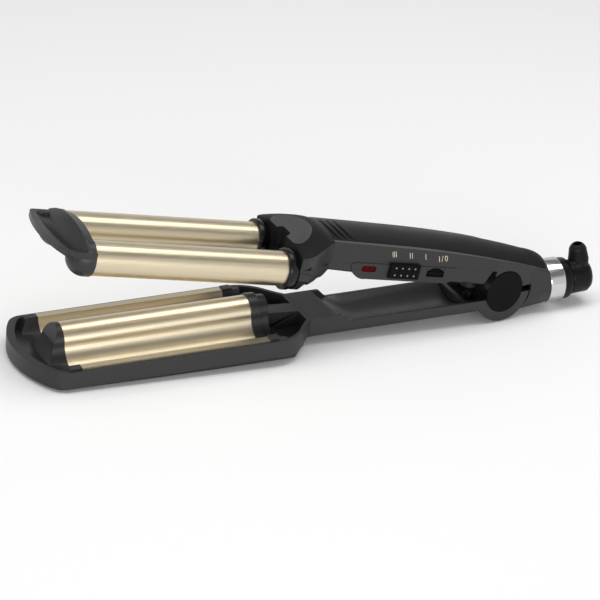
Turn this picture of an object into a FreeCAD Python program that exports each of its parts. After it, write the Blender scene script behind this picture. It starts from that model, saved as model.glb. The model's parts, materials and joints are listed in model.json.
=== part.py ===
import FreeCAD, Part
import Sketcher
import math
import os
import re
from FreeCAD import Placement, Rotation, Vector

# Three barrel deep waving iron for hair, shown open.
# Two heated barrels on the upper arm close onto a wave shaped plate on the lower arm.
# Both arms are drawn about the hinge, X along the arm towards the cord, Z up, barrels level.
# Lengths are millimetres, angles are degrees.

doc = FreeCAD.newDocument("waving_iron")
sheet = doc.addObject("Spreadsheet::Sheet", "dims")

sizes = [
    ("barrel_diameter", 20.0, "outside of a heated barrel"),
    ("barrel_wall", 1.0, "wall of a barrel tube"),
    ("barrel_spacing", 41.2, "between the two barrel axes"),
    ("barrel_height", 8.7, "barrel axis above the hinge axis"),
    ("root_reach", 152.8, "hinge to the front of the barrel collars"),
    ("cap_reach", 273.2, "hinge to the rear face of the tip cap"),
    ("barrel_tuck", 6.5, "length of barrel inside the head"),
    ("cap_tuck", 3.8, "length of barrel inside the cap"),
    ("core_gap", 0.3, "heater core to barrel"),
    ("seat_gap", 0.05, "glued or pressed seats that lie face to face"),
    ("collar_length", 6.2, "length of a barrel collar"),
    ("collar_lip", 2.0, "collar proud of the barrel"),
    ("nose_wall", 0.6, "wall of the cap round a barrel end"),
    ("nose_straight", 3.0, "straight part of a nose ahead of the cap's rear face"),
    ("cap_lip_reach", 22.4, "front lip ahead of the cap's rear face"),
    ("cap_sagitta", 4.3, "bow of the cap's front lip"),
    ("cap_half_width", 30.6, "half of the cap's ledge"),
    ("cap_ledge", 3.1, "underside of the ledge above the barrel axis"),
    ("cap_plate", 3.4, "thickness of the ledge"),
    ("cap_crown", 13.9, "top of the hood above the barrel axis"),
    ("cap_arch", 64.0, "radius of the hood's arch"),
    ("cap_rise", 14.0, "rise of the hood towards the scoop"),
    ("hood_length", 6.4, "length of the hood"),
    ("cap_rim", 4.4, "width of the rim round the scoop"),
    ("scoop_radius", 140.0, "bow of the scoop seen from above"),
    ("head_half_width", 31.6, "half of the head block at the collars"),
    ("head_top", 23.4, "top of the head block above the hinge"),
    ("head_low", 0.0, "underside of the head block above the hinge"),
    ("root_wall", 1.6, "wall of the head round a barrel root"),
    ("facet_radius", 28.3, "round of the flat facet on the head"),
    ("handle_front", 121.0, "hinge to the joint of head block and handle"),
    ("handle_half_width", 18.0, "half of the handle"),
    ("handle_wall", 2.2, "wall of the handle mouldings"),
    ("handle_low", 3.6, "underside of the upper handle near the hinge"),
    ("handle_sweep", 4.3, "rise of that underside towards the head"),
    ("seam_height", 13.0, "seam of upper shell and base above the hinge"),
    ("edge_front", 25.7, "top edge of the handle side at the head"),
    ("edge_drop", 3.4, "fall of that edge from the head to the hinge"),
    ("edge_fall", 3.6, "further fall of the edge close to the hinge"),
    ("crown_rise", 5.5, "crown of the top inlay above the edge"),
    ("inlay_end", 31.0, "hinge to the rear end of the top inlay"),
    ("rib_pitch", 4.6, "between the three grip grooves"),
    ("rib_width", 0.9, "width of a grip groove"),
    ("panel_front", 107.0, "hinge to the front of the control panel"),
    ("panel_length", 70.0, "length of the control panel"),
    ("panel_height", 9.8, "height of the control panel"),
    ("panel_thick", 2.4, "thickness of the control panel"),
    ("panel_proud", 0.5, "panel proud of the handle side"),
    ("control_height", 10.8, "middle of the controls above the hinge"),
    ("lens_length", 9.6, "length of the lamp lens"),
    ("lens_height", 3.6, "height of the lamp lens"),
    ("lens_reach", 95.0, "hinge to the middle of the lens"),
    ("slider_length", 20.0, "length of the heat slider"),
    ("slider_height", 9.2, "height of the heat slider"),
    ("slider_proud", 1.7, "slider proud of the panel"),
    ("slider_reach", 72.0, "hinge to the middle of the slider"),
    ("slider_travel", 4.5, "travel of the slider to each side"),
    ("rocker_length", 10.8, "length of the power rocker"),
    ("rocker_height", 4.6, "height of the power rocker"),
    ("rocker_reach", 50.8, "hinge to the middle of the rocker"),
    ("rocker_tip", 6.0, "lean of the power rocker to each side"),
    ("rocker_pivot", 1.3, "round pivot of the power rocker"),
    ("control_gap", 0.35, "gap round a moving control"),
    ("tail_angle", 11.3, "rise of the tail against the barrels"),
    ("ring_reach", 34.2, "hinge to the front of the chrome ring"),
    ("ring_height", 1.5, "tail axis above the hinge at the chrome ring"),
    ("ring_radius", 13.3, "outside of the chrome ring"),
    ("ring_length", 9.8, "length of the chrome ring"),
    ("collar_end_length", 6.0, "length of the end collar"),
    ("swivel_length", 15.0, "length of the swivel elbow"),
    ("swivel_radius", 10.4, "outside of the swivel elbow"),
    ("boot_radius", 6.2, "outside of the strain relief at its foot"),
    ("boot_height", 11.0, "height of the strain relief over the elbow"),
    ("boot_lean", 9.0, "lean of the strain relief towards the handle"),
    ("cord_radius", 2.6, "bore for the cord"),
    ("swivel_gap", 0.3, "running gap at the swivel"),
    ("open_angle", 11.3, "angle between barrels and plate when open"),
    ("jaw_travel", 12.0, "travel of the hinge from open to closed"),
    ("rest_tilt", 1.7, "fall of the lower arm when it lies on a table"),
    ("cap_disc_radius", 12.7, "hinge cap"),
    ("cap_disc_proud", 0.7, "hinge cap proud of the ear"),
    ("hinge_gap", 0.5, "gap round the hinge cap"),
    ("pin_radius", 3.0, "hinge pin"),
    ("pin_gap", 0.05, "running gap on the hinge pin"),
    ("hinge_half_width", 16.4, "half of the handle at the hinge axis"),
    ("hinge_taper", 9.6, "taper of each handle side at the hinge"),
    ("ear_inside", 10.8, "half of the space between the hinge ears"),
    ("hub_gap", 0.3, "side gap between hub and ear"),
    ("hub_radius", 9.6, "hinge hub of the upper arm"),
    ("lobe_radius", 18.6, "ear of the lower arm"),
    ("lobe_gap", 0.8, "gap between the ear and the tail"),
    ("plate_front", 274.0, "hinge to the front of the wave plate"),
    ("plate_rear", 159.6, "hinge to the rear of the wave plate"),
    ("plate_thick", 1.2, "sheet of the wave plate"),
    ("hair_gap", 1.5, "barrel to plate with the iron closed"),
    ("insert_lift", 0.3, "plate's black end proud of the sheet"),
    ("valley_height", 5.1, "centre of the valleys above the hinge"),
    ("crest_height", 13.2, "top of the crest above the hinge"),
    ("lip_height", 2.4, "outer lips of the plate above the hinge"),
    ("case_half_width", 38.6, "half of the lower casing"),
    ("case_rim", 1.5, "rim of the casing above the hinge"),
    ("case_floor", 9.2, "lower edge of the casing wall below the hinge"),
    ("case_wall", 2.2, "wall of the casing"),
    ("tip_reach", 301.0, "hinge to the tip of the casing"),
    ("tip_sagitta", 9.7, "bow of the tip"),
    ("tip_corner", 5.1, "inset of the tip's round corners"),
    ("tip_rim", 5.0, "width of the rim at the tip"),
    ("shoulder_reach", 155.4, "hinge to the start of the rear shoulders"),
    ("neck_reach", 126.0, "hinge to the joint of casing and lower handle"),
    ("lower_rim", 3.2, "rim of the lower handle below the hinge"),
    ("lower_floor", 11.2, "underside of the lower handle below the hinge"),
    ("saddle_length", 21.0, "length of the saddle ahead of the trough"),
    ("trough_rim", 1.8, "width of the rim beside the trough"),
    ("trough_depth", 5.8, "depth of the finger trough"),
    ("trough_rear", 27.0, "hinge to the rear end of the trough"),
    ("closing_gap", 0.4, "head to casing with the jaws closed"),
    ("pocket_floor", 7.6, "floor of the casing below the hinge"),
    ("spine_half", 5.5, "half of the spine between the pockets"),
    ("spine_height", 3.0, "top of the spine above the hinge"),
    ("cover_wall", 2.0, "wall of the bottom cover"),
    ("collar_band", 11.4, "length of the plate's rear frame"),
    ("frame_step", 5.9, "length of the proud front band of that frame"),
    ("screw_radius", 1.4, "shank of a case screw"),
    ("screw_head", 2.7, "head of a case screw"),
    ("spring_radius", 3.0, "mean radius of the return spring"),
    ("spring_wire", 1.0, "wire of the return spring"),
    ("spring_turns", 3.0, "turns of the return spring"),
    ("spring_length", 15.6, "height of the return spring between its ends"),
    ("cup_radius", 5.4, "outside of the spring cup"),
    ("cup_depth", 7.6, "depth of the spring cup below the handle"),
    ("cup_roof", 1.0, "roof of the spring cup above the handle's underside"),
    ("spring_reach", 14.9, "hinge to the spring axis"),
]
for row, (alias, value, note) in enumerate(sizes, 1):
    sheet.set(f"A{row}", note)
    sheet.set(f"B{row}", str(value))
    sheet.setAlias(f"B{row}", alias)
doc.recompute()


def size(alias):
    return float(sheet.get(alias))


def value(expression):
    return float(sheet.evalExpression(expression))


# Lengths that follow from the driving sizes

barrel_radius = size("barrel_diameter") / 2
half_spacing = size("barrel_spacing") / 2
barrel_height = size("barrel_height")
head_front = size("root_reach") - size("collar_length")
tail_reach = (size("ring_reach") + size("ring_length") + size("collar_end_length")
              + size("swivel_length"))
table_depth = size("lobe_radius")
hinge_x = (size("tip_reach") - tail_reach) / 2
neck_start = 16.0
tail_brow = math.radians(52)

lower_arm = Placement(Vector(hinge_x, 0, table_depth), Rotation(Vector(0, 1, 0), -size("rest_tilt")))
upper_arm = Placement(Vector(hinge_x, 0, table_depth),
                      Rotation(Vector(0, 1, 0), size("open_angle") - size("rest_tilt")))
tail = upper_arm.multiply(Placement(Vector(size("ring_reach"), 0, size("ring_height")),
                                    Rotation(Vector(0, 1, 0), -size("tail_angle"))))
pieces = []


# Helpers for bodies drawn with sketches

def new_body(label, arm, x=0, y=0, z=0, turn=None):
    body = doc.addObject("PartDesign::Body", label)
    body.Label = label
    body.Placement = arm.multiply(Placement(Vector(x, y, z), turn or Rotation()))
    pieces.append(body)
    return body


def new_sketch(body, role, name):
    plane = [f for f in body.Origin.OriginFeatures if f.Role == role][0]
    sketch = body.newObject("Sketcher::SketchObject", name)
    sketch.AttachmentSupport = [(plane, "")]
    sketch.MapMode = "FlatFace"
    return sketch


def draw_outline(sketch, corners):
    # closed outline of straight lines, each corner held to two expressions
    places = [Vector(value(x), value(y), 0) for x, y in corners]
    first = sketch.GeometryCount
    count = len(places)
    for i in range(count):
        sketch.addGeometry(Part.LineSegment(places[i], places[(i + 1) % count]), False)
    for i in range(count):
        sketch.addConstraint(Sketcher.Constraint("Coincident", first + i, 2, first + (i + 1) % count, 1))
    for i, (x, y) in enumerate(corners):
        for kind, text, number in (("DistanceX", x, places[i].x), ("DistanceY", y, places[i].y)):
            index = sketch.addConstraint(
                Sketcher.Constraint(kind, -1, 1, first + i, 1, number))
            sketch.setExpression(f"Constraints[{index}]", with_sheet(text))


def draw_circle(sketch, radius, x="0", y="0"):
    index = sketch.addGeometry(Part.Circle(Vector(value(x), value(y), 0), Vector(0, 0, 1),
                                           value(radius)), False)
    for kind, text, number in (("DistanceX", x, value(x)), ("DistanceY", y, value(y))):
        at = sketch.addConstraint(Sketcher.Constraint(kind, -1, 1, index, 3, number))
        sketch.setExpression(f"Constraints[{at}]", with_sheet(text))
    at = sketch.addConstraint(Sketcher.Constraint("Radius", index, value(radius)))
    sketch.setExpression(f"Constraints[{at}]", with_sheet(radius))


def with_sheet(text):
    # names of cells become dims.name
    return re.sub(r"[a-z][a-z_]+", lambda found: "dims." + found.group(), text)


def pad(body, sketch, length, both=False, back=False):
    feature = body.newObject("PartDesign::Pad", sketch.Name + "_pad")
    feature.Profile = sketch
    feature.setExpression("Length", with_sheet(length))
    feature.Midplane = both
    feature.Reversed = back
    sketch.Visibility = False
    doc.recompute()
    return feature


def pocket(body, sketch, length, both=False, back=False):
    before = body.Shape.Volume
    feature = body.newObject("PartDesign::Pocket", sketch.Name + "_pocket")
    feature.Profile = sketch
    feature.setExpression("Length", with_sheet(length))
    feature.Midplane = both
    feature.Reversed = back
    doc.recompute()
    if body.Shape.Volume > before - 1e-6:
        raise RuntimeError(f"{feature.Name} cuts nothing")
    return feature


def revolve(body, sketch, axis="H_Axis"):
    feature = body.newObject("PartDesign::Revolution", sketch.Name + "_turn")
    feature.Profile = sketch
    feature.ReferenceAxis = (sketch, [axis])
    feature.Angle = 360
    doc.recompute()
    return feature


# Helpers for shapes made in code

def make(label, shape, arm):
    feature = doc.addObject("Part::Feature", label)
    feature.Label = label
    feature.Shape = shape
    feature.Placement = arm.multiply(feature.Placement)
    pieces.append(feature)
    return feature


def box(x0, x1, y0, y1, z0, z1):
    return Part.makeBox(x1 - x0, y1 - y0, z1 - z0, Vector(x0, y0, z0))


def rod(radius, start, end):
    start, end = Vector(*start), Vector(*end)
    return Part.makeCylinder(radius, (end - start).Length, start, end - start)


def line(*points):
    return Part.makePolygon([Vector(*p) for p in points]).Edges


def arc(a, b, c):
    return [Part.Arc(Vector(*a), Vector(*b), Vector(*c)).toShape()]


def flat_face(edges):
    return Part.Face(Part.Wire(Part.__sortEdges__(edges)))


def rounded(shape, radius, chosen):
    return shape.makeFillet(radius, [e for e in shape.Edges if chosen(e)])


def largest(shape):
    return max(shape.Solids, key=lambda s: s.Volume)


def along_z(edge):
    return abs(edge.tangentAt(edge.FirstParameter).z) > 0.9


def along_x(edge):
    tangent = edge.tangentAt(edge.FirstParameter)
    return edge.Curve.TypeId == "Part::GeomLine" and abs(tangent.x) > 0.99


# Wave profile shared by the plate, its end pieces and its heater
# One valley for each barrel, with the crest as a third barrel between them

valley_radius = barrel_radius + size("hair_gap")
valley_z = size("valley_height")
crest_top = size("crest_height")
crest_radius = (half_spacing ** 2 + (crest_top - valley_z) ** 2 - valley_radius ** 2) \
    / (2 * (crest_top - valley_z + valley_radius))
crest_z = crest_top - crest_radius


def wave_edges(x, lift, half_width):
    # upper line of the wave at one station, offset outwards by lift
    rv = valley_radius - lift
    rc = crest_radius + lift
    touch_y = half_spacing * rc / (rc + rv)
    touch_z = crest_z + (valley_z - crest_z) * rc / (rc + rv)
    lip_z = size("lip_height") + lift
    lip_y = half_spacing + math.sqrt(rv ** 2 - (valley_z - lip_z) ** 2)
    edges = arc((x, -touch_y, touch_z), (x, 0, crest_z + rc), (x, touch_y, touch_z))
    for side in (-1, 1):
        low = (x, side * half_spacing, valley_z - rv)
        edges += arc((x, side * touch_y, touch_z), low, (x, side * lip_y, lip_z))
        edges += line((x, side * lip_y, lip_z), (x, side * half_width, lip_z))
    return edges, lip_z


def wave_band(x, top_lift, bottom_lift, half_width):
    # closed face between two offsets of the wave
    upper, upper_z = wave_edges(x, top_lift, half_width)
    lower, lower_z = wave_edges(x, bottom_lift, half_width)
    sides = []
    for side in (-1, 1):
        sides += line((x, side * half_width, lower_z), (x, side * half_width, upper_z))
    return flat_face(upper + lower + sides)


def wave_block(x0, x1, lift, half_width, floor):
    # solid under the wave down to a flat floor
    upper, upper_z = wave_edges(x0, lift, half_width)
    rest = line((x0, -half_width, upper_z), (x0, -half_width, floor), (x0, half_width, floor),
                (x0, half_width, upper_z))
    return flat_face(upper + rest).extrude(Vector(x1 - x0, 0, 0))


# Lower casing outline seen from above: bowed tip, straight sides, shoulders down to the handle

def case_outline(z, inset):
    # bowed tip, round corners, straight sides, shoulders that sweep in to the handle
    half = size("case_half_width")
    tip = -size("tip_reach")
    corner_y = half - size("tip_corner")
    bow_radius = (corner_y ** 2 + size("tip_sagitta") ** 2) / (2 * size("tip_sagitta"))
    turn = math.pi / 2 - math.asin(corner_y / bow_radius)
    corner_radius = size("tip_corner") / (1 - math.cos(turn))
    corner_x = tip + size("tip_sagitta")
    side_end = corner_x + corner_radius * math.sin(turn)
    run = size("shoulder_reach") - size("neck_reach")
    fall = half - handle_half
    neck = -size("neck_reach")
    shoulder = -size("shoulder_reach")
    edges = arc((corner_x, -corner_y, z), (tip, 0, z), (corner_x, corner_y, z))
    for side in (-1, 1):
        middle = (side_end - corner_radius * math.sin(turn / 2),
                  side * (half - corner_radius * (1 - math.cos(turn / 2))), z)
        edges += arc((corner_x, side * corner_y, z), middle, (side_end, side * half, z))
        edges += line((side_end, side * half, z), (shoulder, side * half, z))
        knee = (shoulder + 0.694 * run, side * (half - 0.5 * fall), z)
        brow = (shoulder + 0.388 * run, side * (half - 0.131 * fall), z)
        foot = (shoulder + 0.84 * run, side * (half - 0.762 * fall), z)
        edges += arc((shoulder, side * half, z), brow, knee)
        edges += arc(knee, foot, (neck, side * handle_half, z))
    edges += line((neck, -handle_half, z), (neck, handle_half, z))
    face = flat_face(edges)
    if inset:
        face = face.makeOffset2D(-inset)
    return face


def case_prism(z0, z1, inset):
    return case_outline(z0, inset).extrude(Vector(0, 0, z1 - z0))


def case_cavity(z0, z1, gap):
    # inside of the casing, with the wider rim at the tip
    space = case_prism(z0, z1, wall + gap)
    shifted = case_prism(z0, z1, wall + gap - 0.5)
    shifted.translate(Vector(size("tip_rim") - wall + 0.5, 0, 0))
    return space.common(shifted)


# Side taper shared by both arms at the hinge

def side_wedge(y_at_hinge, x0, x1, z0, z1):
    # space outside the tapered handle side, to be cut away on both sides
    slope = math.tan(math.radians(size("hinge_taper")))
    far = 60
    shape = None
    for side in (-1, 1):
        face = flat_face(line((x0, side * (y_at_hinge - slope * x0), z0), (x1, side * (y_at_hinge - slope * x1), z0),
                              (x1, side * far, z0), (x0, side * far, z0),
                              (x0, side * (y_at_hinge - slope * x0), z0)))
        wedge = face.extrude(Vector(0, 0, z1 - z0))
        shape = wedge if shape is None else shape.fuse(wedge)
    return shape


# Lower arm

rim = size("case_rim")
floor = -size("case_floor")
inner_floor = -size("pocket_floor")
wall = size("case_wall")
neck = -size("neck_reach")
bridge_front = neck - 2
handle_half = size("handle_half_width")
lower_rim = -size("lower_rim")
lower_floor = -size("lower_floor")
plate_front = -size("plate_front")
plate_rear = -size("plate_rear")
frame_end = plate_rear + size("collar_band")


def case_spine(grow, low):
    # spine between the pockets, from the plate's rear frame to the saddle
    start, end = frame_end + 0.1 - grow, bridge_front + 1
    half = size("spine_half") + grow
    side = line((start, -half, low), (start, -half, size("spine_height") + grow), (end, -half, rim + grow),
                (end, -half, low), (start, -half, low))
    return flat_face(side).extrude(Vector(0, 2 * half, 0))


def lower_shell():
    case = case_prism(floor, rim, 0)
    case = case.makeChamfer(1.2, [e for e in case.Edges if e.BoundBox.ZMax < floor + 0.01])
    # open case above its floor, closed towards the handle by the saddle
    space = case_cavity(inner_floor, rim + 1, 0)
    shape = case.cut(space.common(box(-400, bridge_front, -60, 60, inner_floor - 1, rim + 2)))
    # cover screws come up through the floor
    for x, y in cover_screw_places():
        shape = shape.cut(rod(size("screw_radius") + 0.05, (x, y, floor - 1), (x, y, inner_floor + 1)))
    shape = shape.fuse(case_spine(0, inner_floor))
    # low brace across each pocket
    start = frame_end + 0.1
    for side in (-1, 1):
        z = inner_floor - 0.5
        brace = flat_face(line((start, side * 5, z), (start + 3.3, side * 5, z),
                               (start + 6.2, side * 33, z), (start + 3.4, side * 33, z),
                               (start, side * 5, z)))
        shape = shape.fuse(brace.extrude(Vector(0, 0, 2.4)))
    return largest(shape.removeSplitter())


def lower_handle():
    # grip of the lower arm: saddle at the casing, finger trough, spring well and hinge ears
    front = neck + size("seat_gap")
    saddle_end = neck + size("saddle_length")
    side = flat_face(line((front, -handle_half, lower_floor), (front, -handle_half, rim),
                          (saddle_end, -handle_half, rim), (saddle_end + 4.5, -handle_half, lower_rim),
                          (8, -handle_half, lower_rim), (8, -handle_half, lower_floor),
                          (front, -handle_half, lower_floor)))
    shape = side.extrude(Vector(0, 2 * handle_half, 0))
    shape = rounded(shape, 3.0, lambda e: abs(e.CenterOfMass.y) < 0.01 and e.Length > handle_half
                    and saddle_end - 1 < e.CenterOfMass.x < saddle_end + 6)
    shape = rounded(shape, 4.5, lambda e: along_x(e) and e.CenterOfMass.z < lower_floor + 1)
    for sign in (-1, 1):
        inside, outside = sign * size("ear_inside"), sign * handle_half
        lobe = rod(size("lobe_radius"), (0, inside, 0), (0, outside, 0))
        lobe = lobe.cut(box(-40, 40, -40, 40, lower_rim, 40))
        knuckle = rod(size("cap_disc_radius") - 1.5, (0, inside, 0), (0, outside, 0))
        shape = shape.fuse([lobe, knuckle])
    shape = shape.cut(side_wedge(size("hinge_half_width"), -9.4, 40, -40, 40))
    # space between the ears for the hub and the tail of the upper arm
    ear = size("ear_inside")
    shape = shape.cut(rod(size("hub_radius") + 0.8, (0, -ear, 0), (0, ear, 0)))
    sweep = rod(size("lobe_radius") + 1, (0, -ear, 0), (0, ear, 0))
    shape = shape.cut(sweep.common(box(-0.32 * size("lobe_radius"), 40, -ear, ear, -40, 40)))
    # finger trough with a bowed floor, round flanks and a slanted front end
    depth = size("trough_depth")
    half = handle_half - size("trough_rim")
    knee = half - 3.2
    x0, rear = saddle_end - 6, -size("trough_rear")
    bed = lower_rim - depth
    section = arc((x0, -knee, bed + 1.3), (x0, 0, bed), (x0, knee, bed + 1.3)) \
        + line((x0, -half, lower_rim), (x0, -half, rim + 1), (x0, half, rim + 1), (x0, half, lower_rim))
    for sign in (-1, 1):
        flank = (x0, sign * (half - 0.7), bed + 2.9)
        section += arc((x0, sign * knee, bed + 1.3), flank, (x0, sign * half, lower_rim))
    hollow = flat_face(section).extrude(Vector(rear - x0, 0, 0))
    ramp = flat_face(line((saddle_end - 7, -40, rim + 2), (saddle_end + 8, -40, lower_rim - depth - 1),
                          (saddle_end - 7, -40, lower_rim - depth - 1), (saddle_end - 7, -40, rim + 2)))
    shape = shape.cut(hollow.cut(ramp.extrude(Vector(0, 80, 0))))
    # deep well round the spring, with a boss that centres it
    spring_x = -size("spring_reach")
    well = box(spring_x - 9.5, spring_x + 7.5, -half, half, lower_floor + wall, rim + 1)
    well = rounded(well, 3.0, lambda e: along_z(e) and e.CenterOfMass.x < spring_x)
    shape = shape.cut(well)
    shape = shape.cut(rod(size("pin_radius") + 0.01, (0, -30, 0), (0, 30, 0)))
    boss = rod(size("spring_radius") - size("spring_wire") / 2 - 0.5,
               (spring_x, 0, lower_floor + wall - 0.1), (spring_x, 0, lower_floor + wall + 4.5))
    shape = shape.fuse(boss)
    return largest(shape.removeSplitter())


def cover_screw_places():
    across = 0.415 * size("case_half_width")
    places = (-0.956 * size("plate_front"), -1.103 * size("plate_rear"))
    return [(x, y) for x in places for y in (-across, across)]


def table_plane(x):
    # depth of the table under the lower arm, which lies on its ears and its belly
    tilt = math.radians(size("rest_tilt"))
    return -size("lobe_radius") / math.cos(tilt) - x * math.tan(tilt)


def above_table(lift, high):
    # slab that starts a little above the table, square to it
    slab = box(-400, 40, -80, 80, 0, high)
    slab.rotate(Vector(0, 0, 0), Vector(0, 1, 0), size("rest_tilt"))
    slab.translate(Vector(0, 0, table_plane(0) + lift / math.cos(math.radians(size("rest_tilt")))))
    return slab


def bottom_cover():
    # belly under the casing with round flanks, its flat foot in the plane of the ears
    top = floor - size("seat_gap")
    deep = table_plane(-size("neck_reach"))
    half = size("case_half_width") - 3.0
    x0, x1 = -size("tip_reach"), -size("neck_reach")
    section = line((x0, -half, top), (x0, half, top)) + line((x0, 9 - half, deep), (x0, half - 9, deep))
    for side in (-1, 1):
        section += arc((x0, side * half, top), (x0, side * (half - 2.2), (2 * deep + top) / 3 + 0.6),
                       (x0, side * (half - 9), deep))
    shape = flat_face(section).extrude(Vector(x1 - x0, 0, 0))
    shape = shape.common(case_prism(deep - 1, top + 1, 3.0))
    shape = shape.common(above_table(0, 60))
    # hollow over the deep rear part, with a post at each rear screw
    hollow = box(-0.8 * size("plate_front"), -1.06 * size("neck_reach"), 10 - half, half - 10, -30, 0)
    hollow = hollow.common(above_table(size("cover_wall"), 60))
    for x, y in cover_screw_places():
        hollow = hollow.cut(rod(4.0, (x, y, -40), (x, y, 0)))
    shape = shape.cut(hollow)
    for x, y in cover_screw_places():
        foot = table_plane(x)
        shape = shape.cut(rod(size("screw_radius") + 0.05, (x, y, foot - 1), (x, y, floor + 1)))
        shape = shape.cut(rod(size("screw_head") + 0.2, (x, y, foot - 1), (x, y, foot + 0.7)))
    return largest(shape.removeSplitter())


def cover_screws():
    group = []
    for x, y in cover_screw_places():
        foot = table_plane(x)
        head = rod(size("screw_head"), (x, y, foot + 0.1), (x, y, foot + 0.6))
        shank = rod(size("screw_radius"), (x, y, foot + 0.5), (x, y, inner_floor))
        group.append(head.fuse(shank).removeSplitter())
    return Part.makeCompound(group)


def wave_plate():
    half = size("case_half_width") - size("case_wall") - size("seat_gap")
    band = wave_band(plate_front, 0, -size("plate_thick"), half)
    return band.extrude(Vector(plate_rear - plate_front, 0, 0))


def tip_insert():
    # black end of the plate: the wave falls away steeply into a dish that rises to the rim
    gap = size("seat_gap")
    end = plate_front - gap
    bottom = inner_floor + gap
    half = size("case_half_width")
    lift = size("insert_lift")
    tongue = end - 2.2
    fall = line((end, -half, bottom), (end, -half, crest_top + 4), (tongue, -half, crest_top + 4),
                (tongue, -half, crest_top + 1.8), (tongue - 4.0, -half, 5.5)) \
        + arc((tongue - 4.0, -half, 5.5), (tongue - 5.9, -half, 0.2), (tongue - 9.4, -half, -4.4)) \
        + line((tongue - 9.4, -half, -4.4), (tongue - 9.4, -half, bottom), (end, -half, bottom))
    wave = wave_block(end, end - 14, lift, half, bottom)
    shape = wave.common(flat_face(fall).extrude(Vector(0, 2 * half, 0)))
    tip = size("tip_rim") - size("tip_reach")
    dish = line((end, -half, bottom), (end, -half, bottom + 0.6)) \
        + arc((end, -half, bottom + 0.6), ((end + tip) / 2 - 1.5, -half, -4.0), (tip - 1, -half, rim - 0.3)) \
        + line((tip - 1, -half, rim - 0.3), (tip - 1, -half, bottom), (end, -half, bottom))
    shape = shape.fuse(flat_face(dish).extrude(Vector(0, 2 * half, 0)))
    return largest(shape.common(case_cavity(bottom, 30, gap)).removeSplitter())


def wave_line(y):
    # height of the wave over one place across the plate
    y = abs(y)
    touch_y = half_spacing * crest_radius / (crest_radius + valley_radius)
    lip_y = half_spacing + math.sqrt(valley_radius ** 2 - (valley_z - size("lip_height")) ** 2)
    if y < touch_y:
        return crest_z + math.sqrt(crest_radius ** 2 - y ** 2)
    if y < lip_y:
        return valley_z - math.sqrt(max(valley_radius ** 2 - (y - half_spacing) ** 2, 0))
    return size("lip_height")


def plate_end_frame():
    # two bands behind the plate: a proud one, then a lower one that clears the barrel collars
    gap = size("seat_gap")
    start = plate_rear + gap
    half = size("case_half_width") - wall - gap
    bottom = inner_floor + gap
    step = start + size("frame_step")
    proud = wave_block(start, step, 0.8, half, bottom)
    low = wave_block(step, frame_end, -0.9, half, bottom)
    shelf = box(step, frame_end, -half, half, bottom, bottom + 1.1)
    frame = proud.fuse([low, shelf])
    return largest(frame.common(case_cavity(bottom, 30, gap)).removeSplitter())


def plate_heater():
    # flat heater under the crest, with its wedge against the plate
    length = plate_rear - plate_front - 12
    radius = crest_radius - size("plate_thick") - size("core_gap")
    core = rod(radius, (plate_front + 6, 0, crest_z), (plate_front + 6 + length, 0, crest_z))
    return core.cut(box(-400, 0, -20, 20, -20, crest_z - 1.5))


def heater_clamp():
    # sprung channel that presses the heater up into the crest
    gap = size("seat_gap")
    top = crest_z - 1.5 - gap
    shape = box(plate_front + 16, plate_rear - 16, -5, 5, inner_floor + gap, top)
    return shape.cut(box(-400, 0, -3.8, 3.8, inner_floor - 1, top - 1.2))


# Upper arm

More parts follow.
